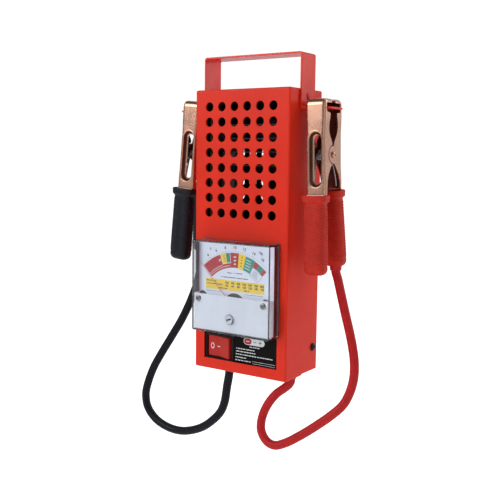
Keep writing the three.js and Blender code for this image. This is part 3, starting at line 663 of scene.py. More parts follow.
# ---- case ----
def add_front():
    shell = tray("case_front", (-SIDE, FRONT, CASE_FLOOR - SKIRT), (SIDE, BACK, CASE_TOP), SHEET,
                 [(0, 1, 0)], 1.7, "paint", 5)
    window = ((METER_X - WINDOW_HALF, FRONT - 5, WINDOW_BOTTOM),
              (METER_X + WINDOW_HALF, FRONT + 5, WINDOW_TOP))
    notch = ((-60, 0.75, CASE_FLOOR - 5), (60, 40, CASE_FLOOR))
    underside = ((-SIDE + 1.9, FRONT + 1.9, CASE_FLOOR - 5), (SIDE - 1.9, 5, CASE_FLOOR + 0.2))
    for low, high in (window, notch, underside):
        cut(shell, add_box(bmesh.new(), low, high))
    cut(shell, vent_rods((FRONT - 5, FRONT + 5), range(VENT_ROWS), VENT_X))
    edge_round(shell, 0.22, 2)
    settle(shell)
    # painted shade on the shell's inner faces
    paint_shade_inside(shell, "case_painted_shade", in_case)
    dress(shell, "case", ["front_shell"])
    floor = add_box(bmesh.new(), (-SIDE + SHEET, FRONT + SHEET, CASE_FLOOR),
                    (SIDE - SHEET, BACK - 0.4, CASE_FLOOR + SHEET), 0.3, 2)
    plate = to_object("case_floor", floor, "paint")
    holes = bmesh.new()
    for centre in (BLACK_EXIT, RED_EXIT):
        add_rod(holes, "z", (CASE_FLOOR - 5, CASE_FLOOR + 5), centre, 6.0)
    cut(plate, holes)
    dress(edge_round(plate, 0.2), "case")


def add_rear():
    half = SIDE - SHEET - GAP
    cover = tray("case_rear", (-half, 7.75, CASE_FLOOR + SHEET + GAP),
                 (half, BACK, CASE_TOP - SHEET - GAP), SHEET, [(0, -1, 0)], 1.2, "paint")
    cut(cover, vent_rods((BACK - 5, BACK + 5), REAR_ROWS, REAR_VENT_X))
    cut(cover, add_rod(bmesh.new(), "z", (CASE_FLOOR - 2, CASE_FLOOR + 6), RED_EXIT, 9.5))
    edge_round(cover, 0.22, 2)
    # painted shade on the cover's inner faces
    paint_shade_inside(settle(cover), "case_painted_shade", in_cover)
    dress(cover, "case", ["rear_cover"])


def cross_recess(radius, depth, top):
    """A cross-shaped driver recess about Z, cut downwards from a height."""
    arm = radius * 0.17
    corner = [(arm, radius), (arm, arm), (radius, arm), (radius, -arm), (arm, -arm), (arm, -radius)]
    outline = corner + [(-x, -y) for x, y in corner]
    bm = add_plate(bmesh.new(), outline, 0, depth)
    bm.transform(shift(0, 0, top) @ spin(-90, "X"))
    return bm


def add_side_screw(name, side, z):
    profile = [(0, -8), (1.6, -7.6), (1.6, 0), (3.7, 0)] + dome(3.9, 0.6, 1.7, 8)
    turn = spin(side * 90, "Y")
    place = shift(side * (SIDE + 0.05), SIDE_SCREW_Y, z) @ turn
    screw = to_object(f"{name}_head", add_lathe(bmesh.new(), profile, 40), "black_screw", place=place)
    cut(screw, cross_recess(2.3, 2.2, 3.0), place)
    dress(edge_round(screw, 0.1), "case", [name])


def add_handle():
    inner = SIDE + GAP + STRAP_T / 2
    wing = WING_TOP - STRAP_T / 2
    line = [(-WING_TIP, wing), (-inner, wing), (-inner, STRAP_T / 2), (inner, STRAP_T / 2), (inner, wing),
            (WING_TIP, wing)]
    outline = strip_outline(line, 1.9, STRAP_T)
    bm = add_plate(bmesh.new(), outline, -STRAP_W / 2, STRAP_W)
    strap = to_object("handle_band", bm, "gloss_paint")
    corner = bmesh.new()
    for side in (-1, 1):
        for edge in (-1, 1):
            spot = shift(side * WING_TIP, edge * STRAP_W / 2, wing) @ spin(45, "Z")
            chamfer = spot @ Matrix.Diagonal((3.2, 3.2, 10, 1))
            made = bmesh.ops.create_cube(corner, size=1.0)
            bmesh.ops.transform(corner, matrix=chamfer, verts=made["verts"])
    cut(strap, corner)
    edge_round(strap, 0.35, 3)
    dress(settle(strap), "case", ["handle_strap"])


def add_rivet(side):
    profile = [(0, -6), (1.9, -6), (1.9, 0), (3.3, 0)] + dome(3.4, 0.25, 0.9, 8)
    turn = spin(side * 90, "Y")
    place = shift(side * (SIDE + GAP + STRAP_T), 0, RIVET_Z) @ turn
    name = "left" if side < 0 else "right"
    to_object(f"rivet_{name}", add_lathe(bmesh.new(), profile, 40), "paint", "case",
              [f"handle_rivet_{name}"], place=place)


add_front()
add_rear()
for level, screw_z in zip(("top", "bottom"), SIDE_SCREW_ZS):
    add_side_screw(f"side_screw_{level}_left", -1, screw_z)
    add_side_screw(f"side_screw_{level}_right", 1, screw_z)
add_handle()
add_rivet(-1)
add_rivet(1)


# ---- inner panel, label and switch ----
def add_panel():
    bm = add_box(bmesh.new(), (-51, PANEL_FRONT, CASE_FLOOR + SHEET + GAP),
                 (51, PANEL_FRONT + PANEL_T, -162), 0.4, 2)
    panel = to_object("switch_panel", bm, "black")
    holes = bmesh.new()
    add_rod(holes, "y", (-40, 0), (METER_X, PIVOT_Z), 23)
    add_box(holes, (SWITCH_X - 16, -40, SWITCH_Z - 12.3), (SWITCH_X + 16, 0, SWITCH_Z + 12.3))
    for side in (-1, 1):
        add_rod(holes, "y", (-40, 0), (METER_X + side * 30, -204), 2.3)
    cut(panel, holes)
    dress(panel, "case", ["inner_panel"])


INK_T, SCALE_INK_T, LINE_HALF = 0.06, 0.05, 0.12  # depth of the print, and half a fine line's width


def bar(bm, x0, x1, z0, z1, y):
    add_box(bm, (x0, y, z0), (x1, y + INK_T, z1))


def dashes(bm, x0, x1, z, height, y, seed):
    """A line of small bars of uneven length, which stands for a line of print."""
    draw = random.Random(seed)
    x = x0
    while x < x1 - 0.4:
        length = min(draw.uniform(0.7, 3.4), x1 - x)
        bar(bm, x, x + length, z - height / 2, z + height / 2, y)
        x += length + draw.uniform(0.45, 0.9)


def pill(bm, x0, x1, z, radius, y):
    """A bar with round ends."""
    turns = np.linspace(math.pi / 2, 3 * math.pi / 2, 13)
    left = [(x0 + radius + radius * math.cos(t), z + radius * math.sin(t)) for t in turns]
    right = [(x1 - radius - radius * math.cos(t), z - radius * math.sin(t)) for t in turns]
    add_plate(bm, left + right, y, INK_T)


def add_label():
    """Black label with a plain battery pictogram and lines of bars, without lettering."""
    front = -26.9
    bm = add_box(bmesh.new(), (-6.5, front, -294.3), (42.5, PANEL_FRONT - GAP, -265.5), 0.25, 2)
    to_object("label", bm, "label", "case", ["label_plate"])
    y = front - 0.05
    white = bmesh.new()
    pill(white, 4.1, 28.3, -272.0, 3.4, y)
    lines = [(11.1, 22.4, -277.3), (-4.5, 17.2, -280.4), (-4.6, 17.8, -283.2), (-4.9, 38.1, -286.1),
             (-5.2, 7.2, -289.1), (-5.6, 12.4, -292.0)]
    for seed, (start, end, z) in enumerate(lines):
        dashes(white, start, end, z, 0.85, y, seed)
    bar(white, 14.5, 40.6, -291.3, -291.0, y)
    bar(white, 14.5, 40.6, -293.3, -293.0, y)
    to_object("label_print", white, "ink_white", "case")
    red = bmesh.new()
    pill(red, 4.8, 13.4, -272.0, 2.8, y - 0.06)
    to_object("label_print_red", red, "ink_red", "case")
    marks = bmesh.new()
    bar(marks, 7.2, 10.8, -272.4, -271.6, y - 0.12)
    to_object("label_mark", marks, "ink_white", "case")
    dark = bmesh.new()
    bar(dark, 15.6, 18.8, -272.3, -271.7, y - 0.06)
    bar(dark, 21.4, 25.0, -272.3, -271.7, y - 0.06)
    bar(dark, 22.9, 23.5, -273.8, -270.2, y - 0.06)
    to_object("label_print_signs", dark, "ink_black", "case")


def add_switch():
    bm = bmesh.new()
    add_box(bm, (-17, PANEL_FRONT - GAP - 1, -13.2), (17, PANEL_FRONT - GAP, 13.2), 0.35, 3)
    add_box(bm, (-15.7, PANEL_FRONT - 0.9, -12), (15.7, -4, 12), 0.4, 2)
    place = shift(SWITCH_X, 0, SWITCH_Z)
    housing = to_object("switch_frame", bm, "black", place=place)
    well = add_box(bmesh.new(), (-14.8, -40, -10.9), (14.8, -13, 10.9), 0.4, 2)
    cut(housing, well, place)
    dress(edge_round(housing, 0.15), "case", ["switch_housing"])


def rocker_place():
    pivot = shift(SWITCH_X, ROCKER_PIVOT_Y, SWITCH_Z)
    return pivot @ spin(-ROCKER_TILT_DEG, "Z")


def rocker_face(x):
    """Height of the button's face over its pivot: two gently hollowed pads that meet in the middle."""
    share = abs(x) / ROCKER_HALF
    return 6.0 + 1.6 * share ** 1.25 + (0.25 * math.sin(math.pi * share))


ROCKER_EDGE = 0.9


def add_rocker():
    """A button lofted across its width, with soft edges, and its two trunnions."""
    rings = []
    columns = np.linspace(-ROCKER_HALF, ROCKER_HALF, 61)
    for x in columns:
        edge = min(1.0, (ROCKER_HALF - abs(x)) / ROCKER_EDGE)
        drop = ROCKER_EDGE * (1 - math.sqrt(max(0.0, 1 - (1 - edge) ** 2)))
        top = rocker_face(x) - drop
        low = 1.5 if abs(x) > 3 else -2.2
        edge_line = [(-low, ROCKER_H)]
        edge_line += [(-(top - ROCKER_EDGE + ROCKER_EDGE * math.sin(a)),
                       ROCKER_H - ROCKER_EDGE + ROCKER_EDGE * math.cos(a)) for a in quarter(6)]
        rings.append([(x, y, -z) for y, z in edge_line] + [(x, y, z) for y, z in edge_line[::-1]])
    bm = add_loft(bmesh.new(), rings)
    add_rod(bm, "z", (-11.7, 11.7), (0, 0), 1.5, 24)
    to_object("rocker_button", bm, "rocker", "rocker", ["rocker"], place=rocker_place(),
              smooth_deg=50)
    marks = bmesh.new()
    ring_r, bar_r = 2.6, 0.42
    circle = [(-8.2 + 1.75 * math.cos(t), -(rocker_face(-8.2) + 0.02), ring_r * math.sin(t))
              for t in TAU * np.arange(40) / 40]
    loop = []
    for i, (x, y, z) in enumerate(circle):
        t = TAU * i / 40
        out = Vector((math.cos(t), 0, math.sin(t)))
        loop.append([(x + out.x * bar_r * math.cos(a), -(rocker_face(x) + 0.02) - 0.12 * math.sin(a),
                      z + out.z * bar_r * math.cos(a)) for a in TAU * np.arange(8) / 8])
    verts = [[marks.verts.new(p) for p in ring] for ring in loop]
    for i in range(40):
        nxt = verts[(i + 1) % 40]
        for k in range(8):
            marks.faces.new((verts[i][k], verts[i][(k + 1) % 8], nxt[(k + 1) % 8], nxt[k]))
    y = -(rocker_face(1.3) + 0.02)
    join_in(marks, add_box(bmesh.new(), (-2.1, y - 0.12, -0.55), (0.9, y + 0.3, 0.35), 0.1, 2))
    to_object("rocker_marks", marks, "mark_white", "rocker", place=rocker_place())


add_panel()
add_label()
add_switch()
add_rocker()


# ---- meter ----
MASK_FRONT, MASK_WALL = METER_FRONT + METER_WALL + GAP, 1.5
GASKET = 1.0  # depth of the dark gasket between the cover and the case
MASK_SCREWS = [(METER_X + side * MASK_SCREW_DX, MASK_SCREW_Z) for side in (-1, 1)]


def add_meter():
    """Clear cover, a white tray inside its lower half, a gasket behind it, and a dark strip of painted
    shade inside its left wall."""
    half = METER_W / 2
    x0, x1 = METER_X - half, METER_X + half
    cover = tray("meter_cover", (x0, METER_FRONT, METER_BOTTOM), (x1, METER_BACK - GASKET, METER_TOP),
                 METER_WALL, [(0, 1, 0)], 1.5, "clear", 5)
    bores = bmesh.new()
    for spot in MASK_SCREWS:
        for depth, radius in ((1.1, 3.1), (5, 1.7)):
            add_rod(bores, "y", (METER_FRONT - 3, METER_FRONT + depth), spot, radius)
    add_rod(bores, "y", (METER_FRONT - 3, METER_FRONT + 5), (METER_X, ADJUSTER_Z), 4.8)
    cut(cover, bores)
    dress(edge_round(cover, 0.15, 2), "case", ["meter_window"])
    inner = half - METER_WALL - GAP
    low, back = METER_BOTTOM + METER_WALL + GAP, DIAL_FRONT - GAP
    mask = tray("meter_skirt", (METER_X - inner, MASK_FRONT, low), (METER_X + inner, back, METER_SPLIT),
                MASK_WALL, [(0, 1, 0), (0, 0, 1)], 1.0, "mask", 4)
    holes = bmesh.new()
    for spot, radius in zip(MASK_SCREWS + [(METER_X, ADJUSTER_Z)], (3.1, 3.1, 5.0)):
        add_rod(holes, "y", (MASK_FRONT - 3, MASK_FRONT + 5), spot, radius)
    cut(mask, holes)
    dress(edge_round(mask, 0.2, 2), "case", ["meter_mask"])
    ring = add_box(bmesh.new(), (x0 - 0.2, METER_BACK - GASKET, METER_BOTTOM - 0.2),
                   (x1 + 0.2, METER_BACK, METER_TOP + 0.2))
    gasket = to_object("meter_gasket", ring, "seal_and_painted_shade")
    middle = add_box(bmesh.new(), (x0 + 2, -60, METER_BOTTOM + 2), (x1 - 2, 0, METER_TOP - 2))
    cut(gasket, middle)
    dress(edge_round(gasket, 0.25, 3), "case")
    # a thin dark strip of painted shade inside the cover's left wall
    wall = x0 + METER_WALL
    seal_and_painted_shade = add_box(bmesh.new(), (wall + 0.02, -42.2, METER_SPLIT + 0.5),
                   (wall + 0.3, DIAL_FRONT - 0.1, METER_TOP - METER_WALL - 0.6))
    to_object("meter_painted_shade_strip", seal_and_painted_shade, "seal_and_painted_shade", "case")


def add_mask_screw(name, side):
    profile = [(0, -14), (1.3, -13.6), (1.3, 0), (2.7, 0)] + dome(2.7, 0.5, 0.75, 7)
    place = shift(METER_X + side * MASK_SCREW_DX, METER_FRONT + 0.8, MASK_SCREW_Z) @ spin(90, "X")
    screw = to_object(f"{name}_head", add_lathe(bmesh.new(), profile, 36), "steel", place=place)
    cut(screw, cross_recess(1.8, 1.6, 1.7), place @ Matrix.Rotation(0.5, 4, "Z"))
    # painted shade in the bottom of the cross recess
    paint_shade_inside(screw, "seal_and_painted_shade", lambda p: math.hypot(p.x, p.y) < 1.9 and p.z < 1.1, place)
    dress(edge_round(screw, 0.06), "case", [name])


def add_adjuster():
    flange = MASK_FRONT + MASK_WALL + GAP - METER_FRONT
    profile = [(0, -flange - 0.9), (5.6, -flange - 0.9), (5.6, -flange), (4.4, -flange), (4.4, 0.3)]
    profile += [(4.0 + 0.4 * math.cos(a), 0.3 + 0.4 * math.sin(a)) for a in quarter(5)]
    profile += [(3.0, 0.7), (2.7, 0.2), (0, 0.2)]
    place = shift(METER_X, METER_FRONT, ADJUSTER_Z) @ spin(90, "X")
    knob = to_object("zero_screw", add_lathe(bmesh.new(), profile, 48), "mask", place=place)
    slot = bmesh.new()
    add_box(slot, (-3.0, -0.75, -0.9), (3.0, 0.75, 3))
    cut(knob, slot, place @ Matrix.Rotation(0.35, 4, "Z"))
    # painted shade in the slot and on the sides and flange that sit in the mask's hole
    paint_shade_inside(knob, "seal_and_painted_shade", lambda p: p.z < 0.28 if math.hypot(p.x, p.y) > 4.2 else p.z < 0.15, place)
    dress(edge_round(knob, 0.12), "zero_adjuster", ["zero_adjuster"])


def polar(radius, degrees):
    turn = math.radians(degrees)
    return METER_X + radius * math.sin(turn), PIVOT_Z + radius * math.cos(turn)


def sector(bm, r0, r1, a0, a1, y):
    """A piece of the scale, between two radii and two angles from upright."""
    count = max(3, int(abs(a1 - a0) / 1.2))
    outer = [polar(r1, a) for a in np.linspace(a0, a1, count)]
    inner = [polar(r0, a) for a in np.linspace(a1, a0, count)]
    add_plate(bm, outer + inner, y, SCALE_INK_T)


def digits(name, entries, size, y):
    """Numbers on the dial as one mesh; each entry is (text, x, z, turn in degrees)."""
    bm = bmesh.new()
    for text, x, z, turn in entries:
        curve = bpy.data.curves.new("digits", "FONT")
        curve.body = text
        curve.size = size
        curve.align_x, curve.align_y = "CENTER", "CENTER"
        curve.extrude = 0.02
        curve.offset = 0.09
        curve.resolution_u = 3
        obj = add_to_scene("digits", curve)
        graph = bpy.context.evaluated_depsgraph_get()
        flat = bpy.data.meshes.new_from_object(obj.evaluated_get(graph))
        upright = (shift(x, y, z) @ spin(turn, "Y")
                   @ spin(90, "X"))
        flat.transform(upright)
        bm.from_mesh(flat)
        bpy.data.objects.remove(obj)
        bpy.data.curves.remove(curve)
        bpy.data.meshes.remove(flat)
    to_object(name, bm, "ink_black", "case")


# each coloured field of the scale: two radii, and two angles from upright
DIAL_FIELDS = {
    "red": [(38.3, 52.6, -44.4, -18.7), (38.3, 42.7, -18.7, -6.6), (38.3, 52.6, -6.6, 5.0),
            (45.3, 51.4, 26.5, 32.5), (45.3, 51.4, 39.4, 43.8)],
    "yellow": [(43.3, 52.6, -18.7, -11.8), (37.8, 52.4, 5.0, 14.2)],
    "teal": [(43.3, 52.6, -11.8, -6.6), (37.8, 51.8, 14.2, 26.5), (45.3, 51.4, 32.5, 39.4)],
}


def add_dial():
    plate_half = METER_W / 2 - METER_WALL - 2 * GAP
    bm = add_box(bmesh.new(), (METER_X - plate_half, DIAL_FRONT, METER_BOTTOM + METER_WALL + 2 * GAP),
                 (METER_X + plate_half, DIAL_FRONT + 0.8, METER_TOP - METER_WALL - 2 * GAP), 0.15, 2)
    plate = to_object("dial_face", bm, "dial")
    holes = add_rod(bmesh.new(), "y", (-40, -30), (METER_X, PIVOT_Z), 13.6, 64)
    cut(plate, holes)
    dress(plate, "case", ["dial_plate"])
    y = DIAL_FRONT - 0.05
    lift = y - 0.05
    for ink, fields in DIAL_FIELDS.items():
        bm = bmesh.new()
        for field in fields:
            sector(bm, *field, y)
        if ink == "yellow":
            bar(bm, -33.6, 34.0, -222.4, -212.3, y)
        to_object(f"dial_print_{ink}", bm, f"ink_{ink}", "case")
    white = bmesh.new()
    for radius, start, end in ((40.3, -43.4, -8), (42.1, -43.4, -20)):
        sector(white, radius - 0.22, radius + 0.22, start, end, lift)
    sector(white, 42.7, 43.3, -18.9, -6.4, lift)
    for angle in (-18.9, -6.4):
        sector(white, 42.7, 52.6, angle - 0.25, angle + 0.25, lift)
    for row in range(4):
        sector(white, 40.6 + 2.6 * row, 41.2 + 2.6 * row, 15.6, 24.8 - row, lift)
    for row, radius in enumerate((41.2, 44.6, 48.0)):
        sector(white, radius, radius + 1.2, -1.6, 1.4, lift)
    for angle in (-22.5, -20.4):
        sector(white, 46.5, 48.5, angle - 0.5, angle + 0.5, lift)
    to_object("dial_print_white", white, "ink_white", "case")
    black = bmesh.new()
    for step in range(-18, 20):
        angle = step * 2.2
        long = step % 5 == 0
        sector(black, 53.4, 55.0 if long else 54.2, angle - 0.16, angle + 0.16, y)
    for angle in (-14.6, -9.6):
        for row in range(3):
            sector(black, 45.2 + 2.3 * row, 45.8 + 2.3 * row, angle - 0.9, angle + 0.9, lift)
    for row in range(4):
        sector(black, 40.5 + 2.9 * row, 41.5 + 2.9 * row, 8.8, 10.4, lift)
    for x, z, length in ((-8.5, -205.2, 5.5), (-1.0, -205.0, 1.0), (2.0, -204.9, 7.0)):
        bar(black, x, x + length, z - 0.35, z + 0.35, y)
    for x, length in ((-15.5, 1.4), (-13.2, 5.6), (-6.8, 8.4), (2.6, 6.4), (9.8, 5.8)):
        bar(black, x, x + length, -209.9, -209.2, y)
    for x, length in ((-33, 7), (-25.2, 4), (-20.4, 4.4), (12.5, 3), (16.2, 9.4), (26.4, 6.2)):
        bar(black, x, x + length, -224.45, -224.1, y)
    outline = [(44.9, 26.8), (44.9, 44.4), (36.9, 43.9), (36.9, 27.3)]
    for (r0, a0), (r1, a1) in zip(outline, outline[1:] + outline[:1]):
        p, q = Vector(polar(r0, a0)), Vector(polar(r1, a1))
        along = (q - p).normalized()
        side = Vector((-along.y, along.x)) * LINE_HALF
        corners = [tuple(corner) for corner in (p - side, p + side, q + side, q - side)]
        add_plate(black, corners, y, SCALE_INK_T)
    for row in range(3):
        sector(black, 38.3 + 2.0 * row, 38.8 + 2.0 * row, 29.2, 41.5 - 2 * row, y)
    to_object("dial_print_black", black, "ink_black", "case")
    scale = [(str(2 * i + 4), *polar(57.6, 11.05 * (i - 3) - 0.3), 11.05 * (i - 3)) for i in range(7)]
    digits("dial_scale_numbers", scale, 4.0, y)
    for index, angle in enumerate((-27.8, 28.1)):
        marks = [("0" if index == 0 else "100", *polar(61.6, angle), angle)]
        digits(f"dial_end_number_{index + 1}", marks, 3.3, y)
    rows = [(str(200 + 100 * i), -8.5 + 6.7 * i, -215.0, 0) for i in range(7)]
    rows += [(str(40 + 20 * i), -8.5 + 6.7 * i, -217.9, 0) for i in range(7)]
    digits("dial_table_numbers", rows, 2.8, lift)
    words = bmesh.new()
    lines = [(-32.6, -21.5, -214.3), (-32.6, -14.0, -217.2), (-18.0, -8.4, -220.6), (11.5, 17.0, -220.8)]
    for seed, (start, end, z) in enumerate(lines):
        dashes(words, start, end, z, 0.9, lift, 20 + seed)
    to_object("dial_table_words", words, "ink_black", "case")


def add_dial_screws():
    """Two small dark screws that hold the dial plate, seen at the ends of the mask's top edge."""
    bm = bmesh.new()
    for x, z, radius in ((-37.2, -230.0, 4.9), (35.7, -229.3, 3.0)):
        add_rod(bm, "y", (DIAL_FRONT - 0.6, DIAL_FRONT), (x, z), radius, 40, rim=0.25)
    to_object("dial_screws", bm, "black_screw", "case")


def add_needle():
    """Pointer, hub with a counterweight, and its shaft."""
    bm = bmesh.new()
    add_plate(bm, [(-0.5, 2), (0.5, 2), (0.14, NEEDLE_L), (-0.14, NEEDLE_L)], -39.9, 0.3)
    add_plate(bm, [(-0.9, -12), (0.9, -12), (0.5, 2.2), (-0.5, 2.2)], -39.9, 0.4)
    add_rod(bm, "y", (-41, -38.6), (0, 0), 3, 40, rim=0.4)
    add_rod(bm, "y", (-39, -30.6), (0, 0), 1, 20)
    add_rod(bm, "y", (-40.6, -38.9), (0, -9.5), 1.6, 24, rim=0.3)
    place = shift(METER_X, 0, PIVOT_Z) @ spin(-NEEDLE_REST_DEG, "Y")
    to_object("pointer", bm, "needle", "needle", ["needle"], place=place)


add_meter()
add_mask_screw("mask_screw_left", -1)
add_mask_screw("mask_screw_right", 1)
add_adjuster()
add_dial()
add_dial_screws()
add_needle()


# ---- load resistor ----
def add_load():
    """One strip folded to and fro with round bends, ending in two drilled ears."""
    low = LOAD_TOP - (LOAD_RUNS - 1) * LOAD_PITCH
    line = [(LOAD_HALF + 2.4, LOAD_TOP + 12), (LOAD_HALF + 2.4, LOAD_TOP)]
    for run in range(LOAD_RUNS):
        z = LOAD_TOP - run * LOAD_PITCH
        ends = (LOAD_HALF - 0.6, -LOAD_HALF + 0.6)
        start, end = ends if run % 2 == 0 else ends[::-1]
        if run:
            line.append((start, z))
        if run < LOAD_RUNS - 1:
            line.append((end, z))
    line += [(-LOAD_HALF - 2.4, low), (-LOAD_HALF - 2.4, low - 12)]
    outline = strip_outline(line, 3.0, 1.1)
    bm = add_plate(bmesh.new(), outline, LOAD_DEPTH[0], LOAD_DEPTH[1] - LOAD_DEPTH[0])
    strip = to_object("resistor_strip", bm, "resistor")
    dress(edge_round(strip, 0.12), "case", ["load_ribbon"])


add_load()


def add_heat_shield():
    """Dark board hung inside the rear cover, with one rail beside it."""
    board = add_box(bmesh.new(), (-3, 18.4, -150), (28, 19.6, -58), 0.2, 2)
    add_box(board, (-46, 18.6, -109), (-4, 19.4, -103), 0.2, 2)
    for z in (-140, -68):
        add_rod(board, "y", (19.2, BACK - SHEET), (12, z), 3.0, 24)
    to_object("heat_shield", board, "fibre", "case")


add_heat_shield()


# ---- clamps ----
def clamp_place(colour):
    x, z, lean = CLAMPS[colour]
    return shift(x, 0, z) @ spin(lean, "Y")


HALF_TURN = spin(180, "Z")
FEET = {"inside": -36.9, "outside": -31.0}  # lower end of each half's channel
TIP_Z, TIP_REACH, BEND_R = 50.6, 3.5, 5.0


def jaw_spine(foot):
    """Stations along the jaw's broad face, bottom to tip: (y, z, inward normal y, inward normal z)."""
    face = -CLAMP_FACE + CLAMP_T / 2
    straight = TIP_Z - CLAMP_T / 2 - BEND_R
    stations = [(face, z, 1.0, 0.0) for z in np.arange(foot, straight, 0.8)]
    for turn in quarter(12):
        stations.append((face + BEND_R * (1 - math.cos(turn)), straight + BEND_R * math.sin(turn),
                         math.cos(turn), -math.sin(turn)))
    for y in np.linspace(face + BEND_R, -TIP_REACH, 5)[1:]:
        stations.append((y, TIP_Z - CLAMP_T / 2, 0.0, -1.0))
    return stations


def soft_step(value, start, end):
    t = min(1.0, max(0.0, (value - start) / (end - start)))
    return t * t * (3 - 2 * t)


FLANGE_EDGE = [  # (z, y)
    (-37, -12.9), (-31, -12.6), (-24, -11.8), (-18, -9.6), (-12, -5.4), (-9, -2.6), (-8, -1.7), (9.5, -1.7),
    (12, -2.4), (16, -5.4), (20, -7.6), (24, -8.4), (29, -8.2), (33, -7.0), (36.5, -6.3), (38.1, -6.6),
    (38.4, -13.1), (42.85, -13.1),
]
JAW_CORNER, TIP_FLANGE = 2.3, 3.1  # bend radius along the jaw, and its flanges' depth at the tip


def flange_edge(z, ear):
    """The y of a flange's inner edge on the straight part of the jaw."""
    edge = float(np.interp(z, *zip(*FLANGE_EDGE)))
    if ear == "outside":
        return max(edge, math.sqrt(EAR_R ** 2 - z * z)) if abs(z) < EAR_R else edge
    hollow = EAR_R + 0.9
    return min(edge, -math.sqrt(hollow ** 2 - z * z)) if abs(z) < hollow else edge


def jaw_mesh(ear):
    """One half of a clamp as a pressed channel, its flanges shaped round the pivot; add_jaw adds its raised
    slot rim and the front half's ears.
    """
    rows = []
    for y, z, ny, nz in jaw_spine(FEET[ear]):
        waist = 0.75 * (soft_step(z, -28, -6) - soft_step(z, 14, 36))
        half = CLAMP_W / 2 - CLAMP_T / 2 - waist * 0.9
        depth = max(flange_edge(z, ear) - y if nz == 0 else TIP_FLANGE, JAW_CORNER + 0.3)
        profile = [(-half, t) for t in np.linspace(depth, JAW_CORNER, 7)]
        profile += [(-half + JAW_CORNER * (1 - math.cos(turn)), JAW_CORNER * (1 - math.sin(turn)))
                    for turn in quarter(6)[1:]]
        row = [(x, y + ny * t, z + nz * t) for x, t in profile]
        mirrored = [(-x, b, c) for x, b, c in row[::-1]]
        flat = half - JAW_CORNER
        across = [(-flat * (1 - share) + flat * share, y, z) for share in np.linspace(0, 1, 9)[1:-1]]
        rows.append(row + across + mirrored)
    bm = bmesh.new()
    grid = [[bm.verts.new(p) for p in row] for row in rows]
    for lower, upper in zip(grid, grid[1:]):
        for i in range(len(lower) - 1):
            bm.faces.new((lower[i], lower[i + 1], upper[i + 1], upper[i]))
    return bm


def stadium(radius, low, high, count=18):
    """Points round a slot with round ends, as (x, z)."""
    top = [(radius * math.cos(t), high + radius * math.sin(t)) for t in np.linspace(0, math.pi, count)]
    end = [(radius * math.cos(t), low + radius * math.sin(t)) for t in np.linspace(math.pi, TAU, count)]
    return top + end


SLOT_LOW, SLOT_HIGH, SLOT_R = -23.0, 14.0, 6.25


# stretches of the rim's section that get painted shade
SHADED_RIM_STEPS = (4, 5)  # stretches of the rim's section


def add_slot_rim(bm):
    """The drawn rim of the slot: it rolls in from the face and tapers to a lip 5.5 mm deep.
    The tapered wall gets painted shade."""
    face = -CLAMP_FACE
    section = [(2.2, 0.35), (1.6, -0.12), (0.9, -0.1), (0.35, 0.25), (0.0, 1.0), (-0.9, 3.4), (-1.7, 4.2),
               (-2.4, 4.5), (-2.8, 4.9), (-2.6, 5.4), (-1.6, 5.5), (-0.2, 4.6), (1.2, 1.9), (2.2, 1.3)]
    rings = [[bm.verts.new((x, face + depth, z)) for x, z in stadium(SLOT_R + out, SLOT_LOW, SLOT_HIGH)]
             for out, depth in section]
    count = len(rings[0])
    for step, (inner, outer) in enumerate(zip(rings, rings[1:] + rings[:1])):
        for i in range(count):
            j = (i + 1) % count
            face = bm.faces.new((inner[i], inner[j], outer[j], outer[i]))
            # the tapered wall's faces take the jaw's second material, its painted shade
            face.material_index = 1 if step in SHADED_RIM_STEPS else 0
    return bm


# the front jaw's ears: their sides, how far their feet reach out, and half the height of their roots
EAR_INNER, EAR_OUTER, EAR_FOOT, EAR_ROOT = 6.3, 7.85, 9.6, 6.4
REAR_TILT_DEG = 6.3  # lean of the rear half's lower end and of its grip


def in_jaw(point):
    return (abs(point.x) < CLAMP_W / 2 - CLAMP_T * 0.7 and point.y > -CLAMP_FACE + CLAMP_T * 0.7
            and point.z < TIP_Z - CLAMP_T * 0.7)


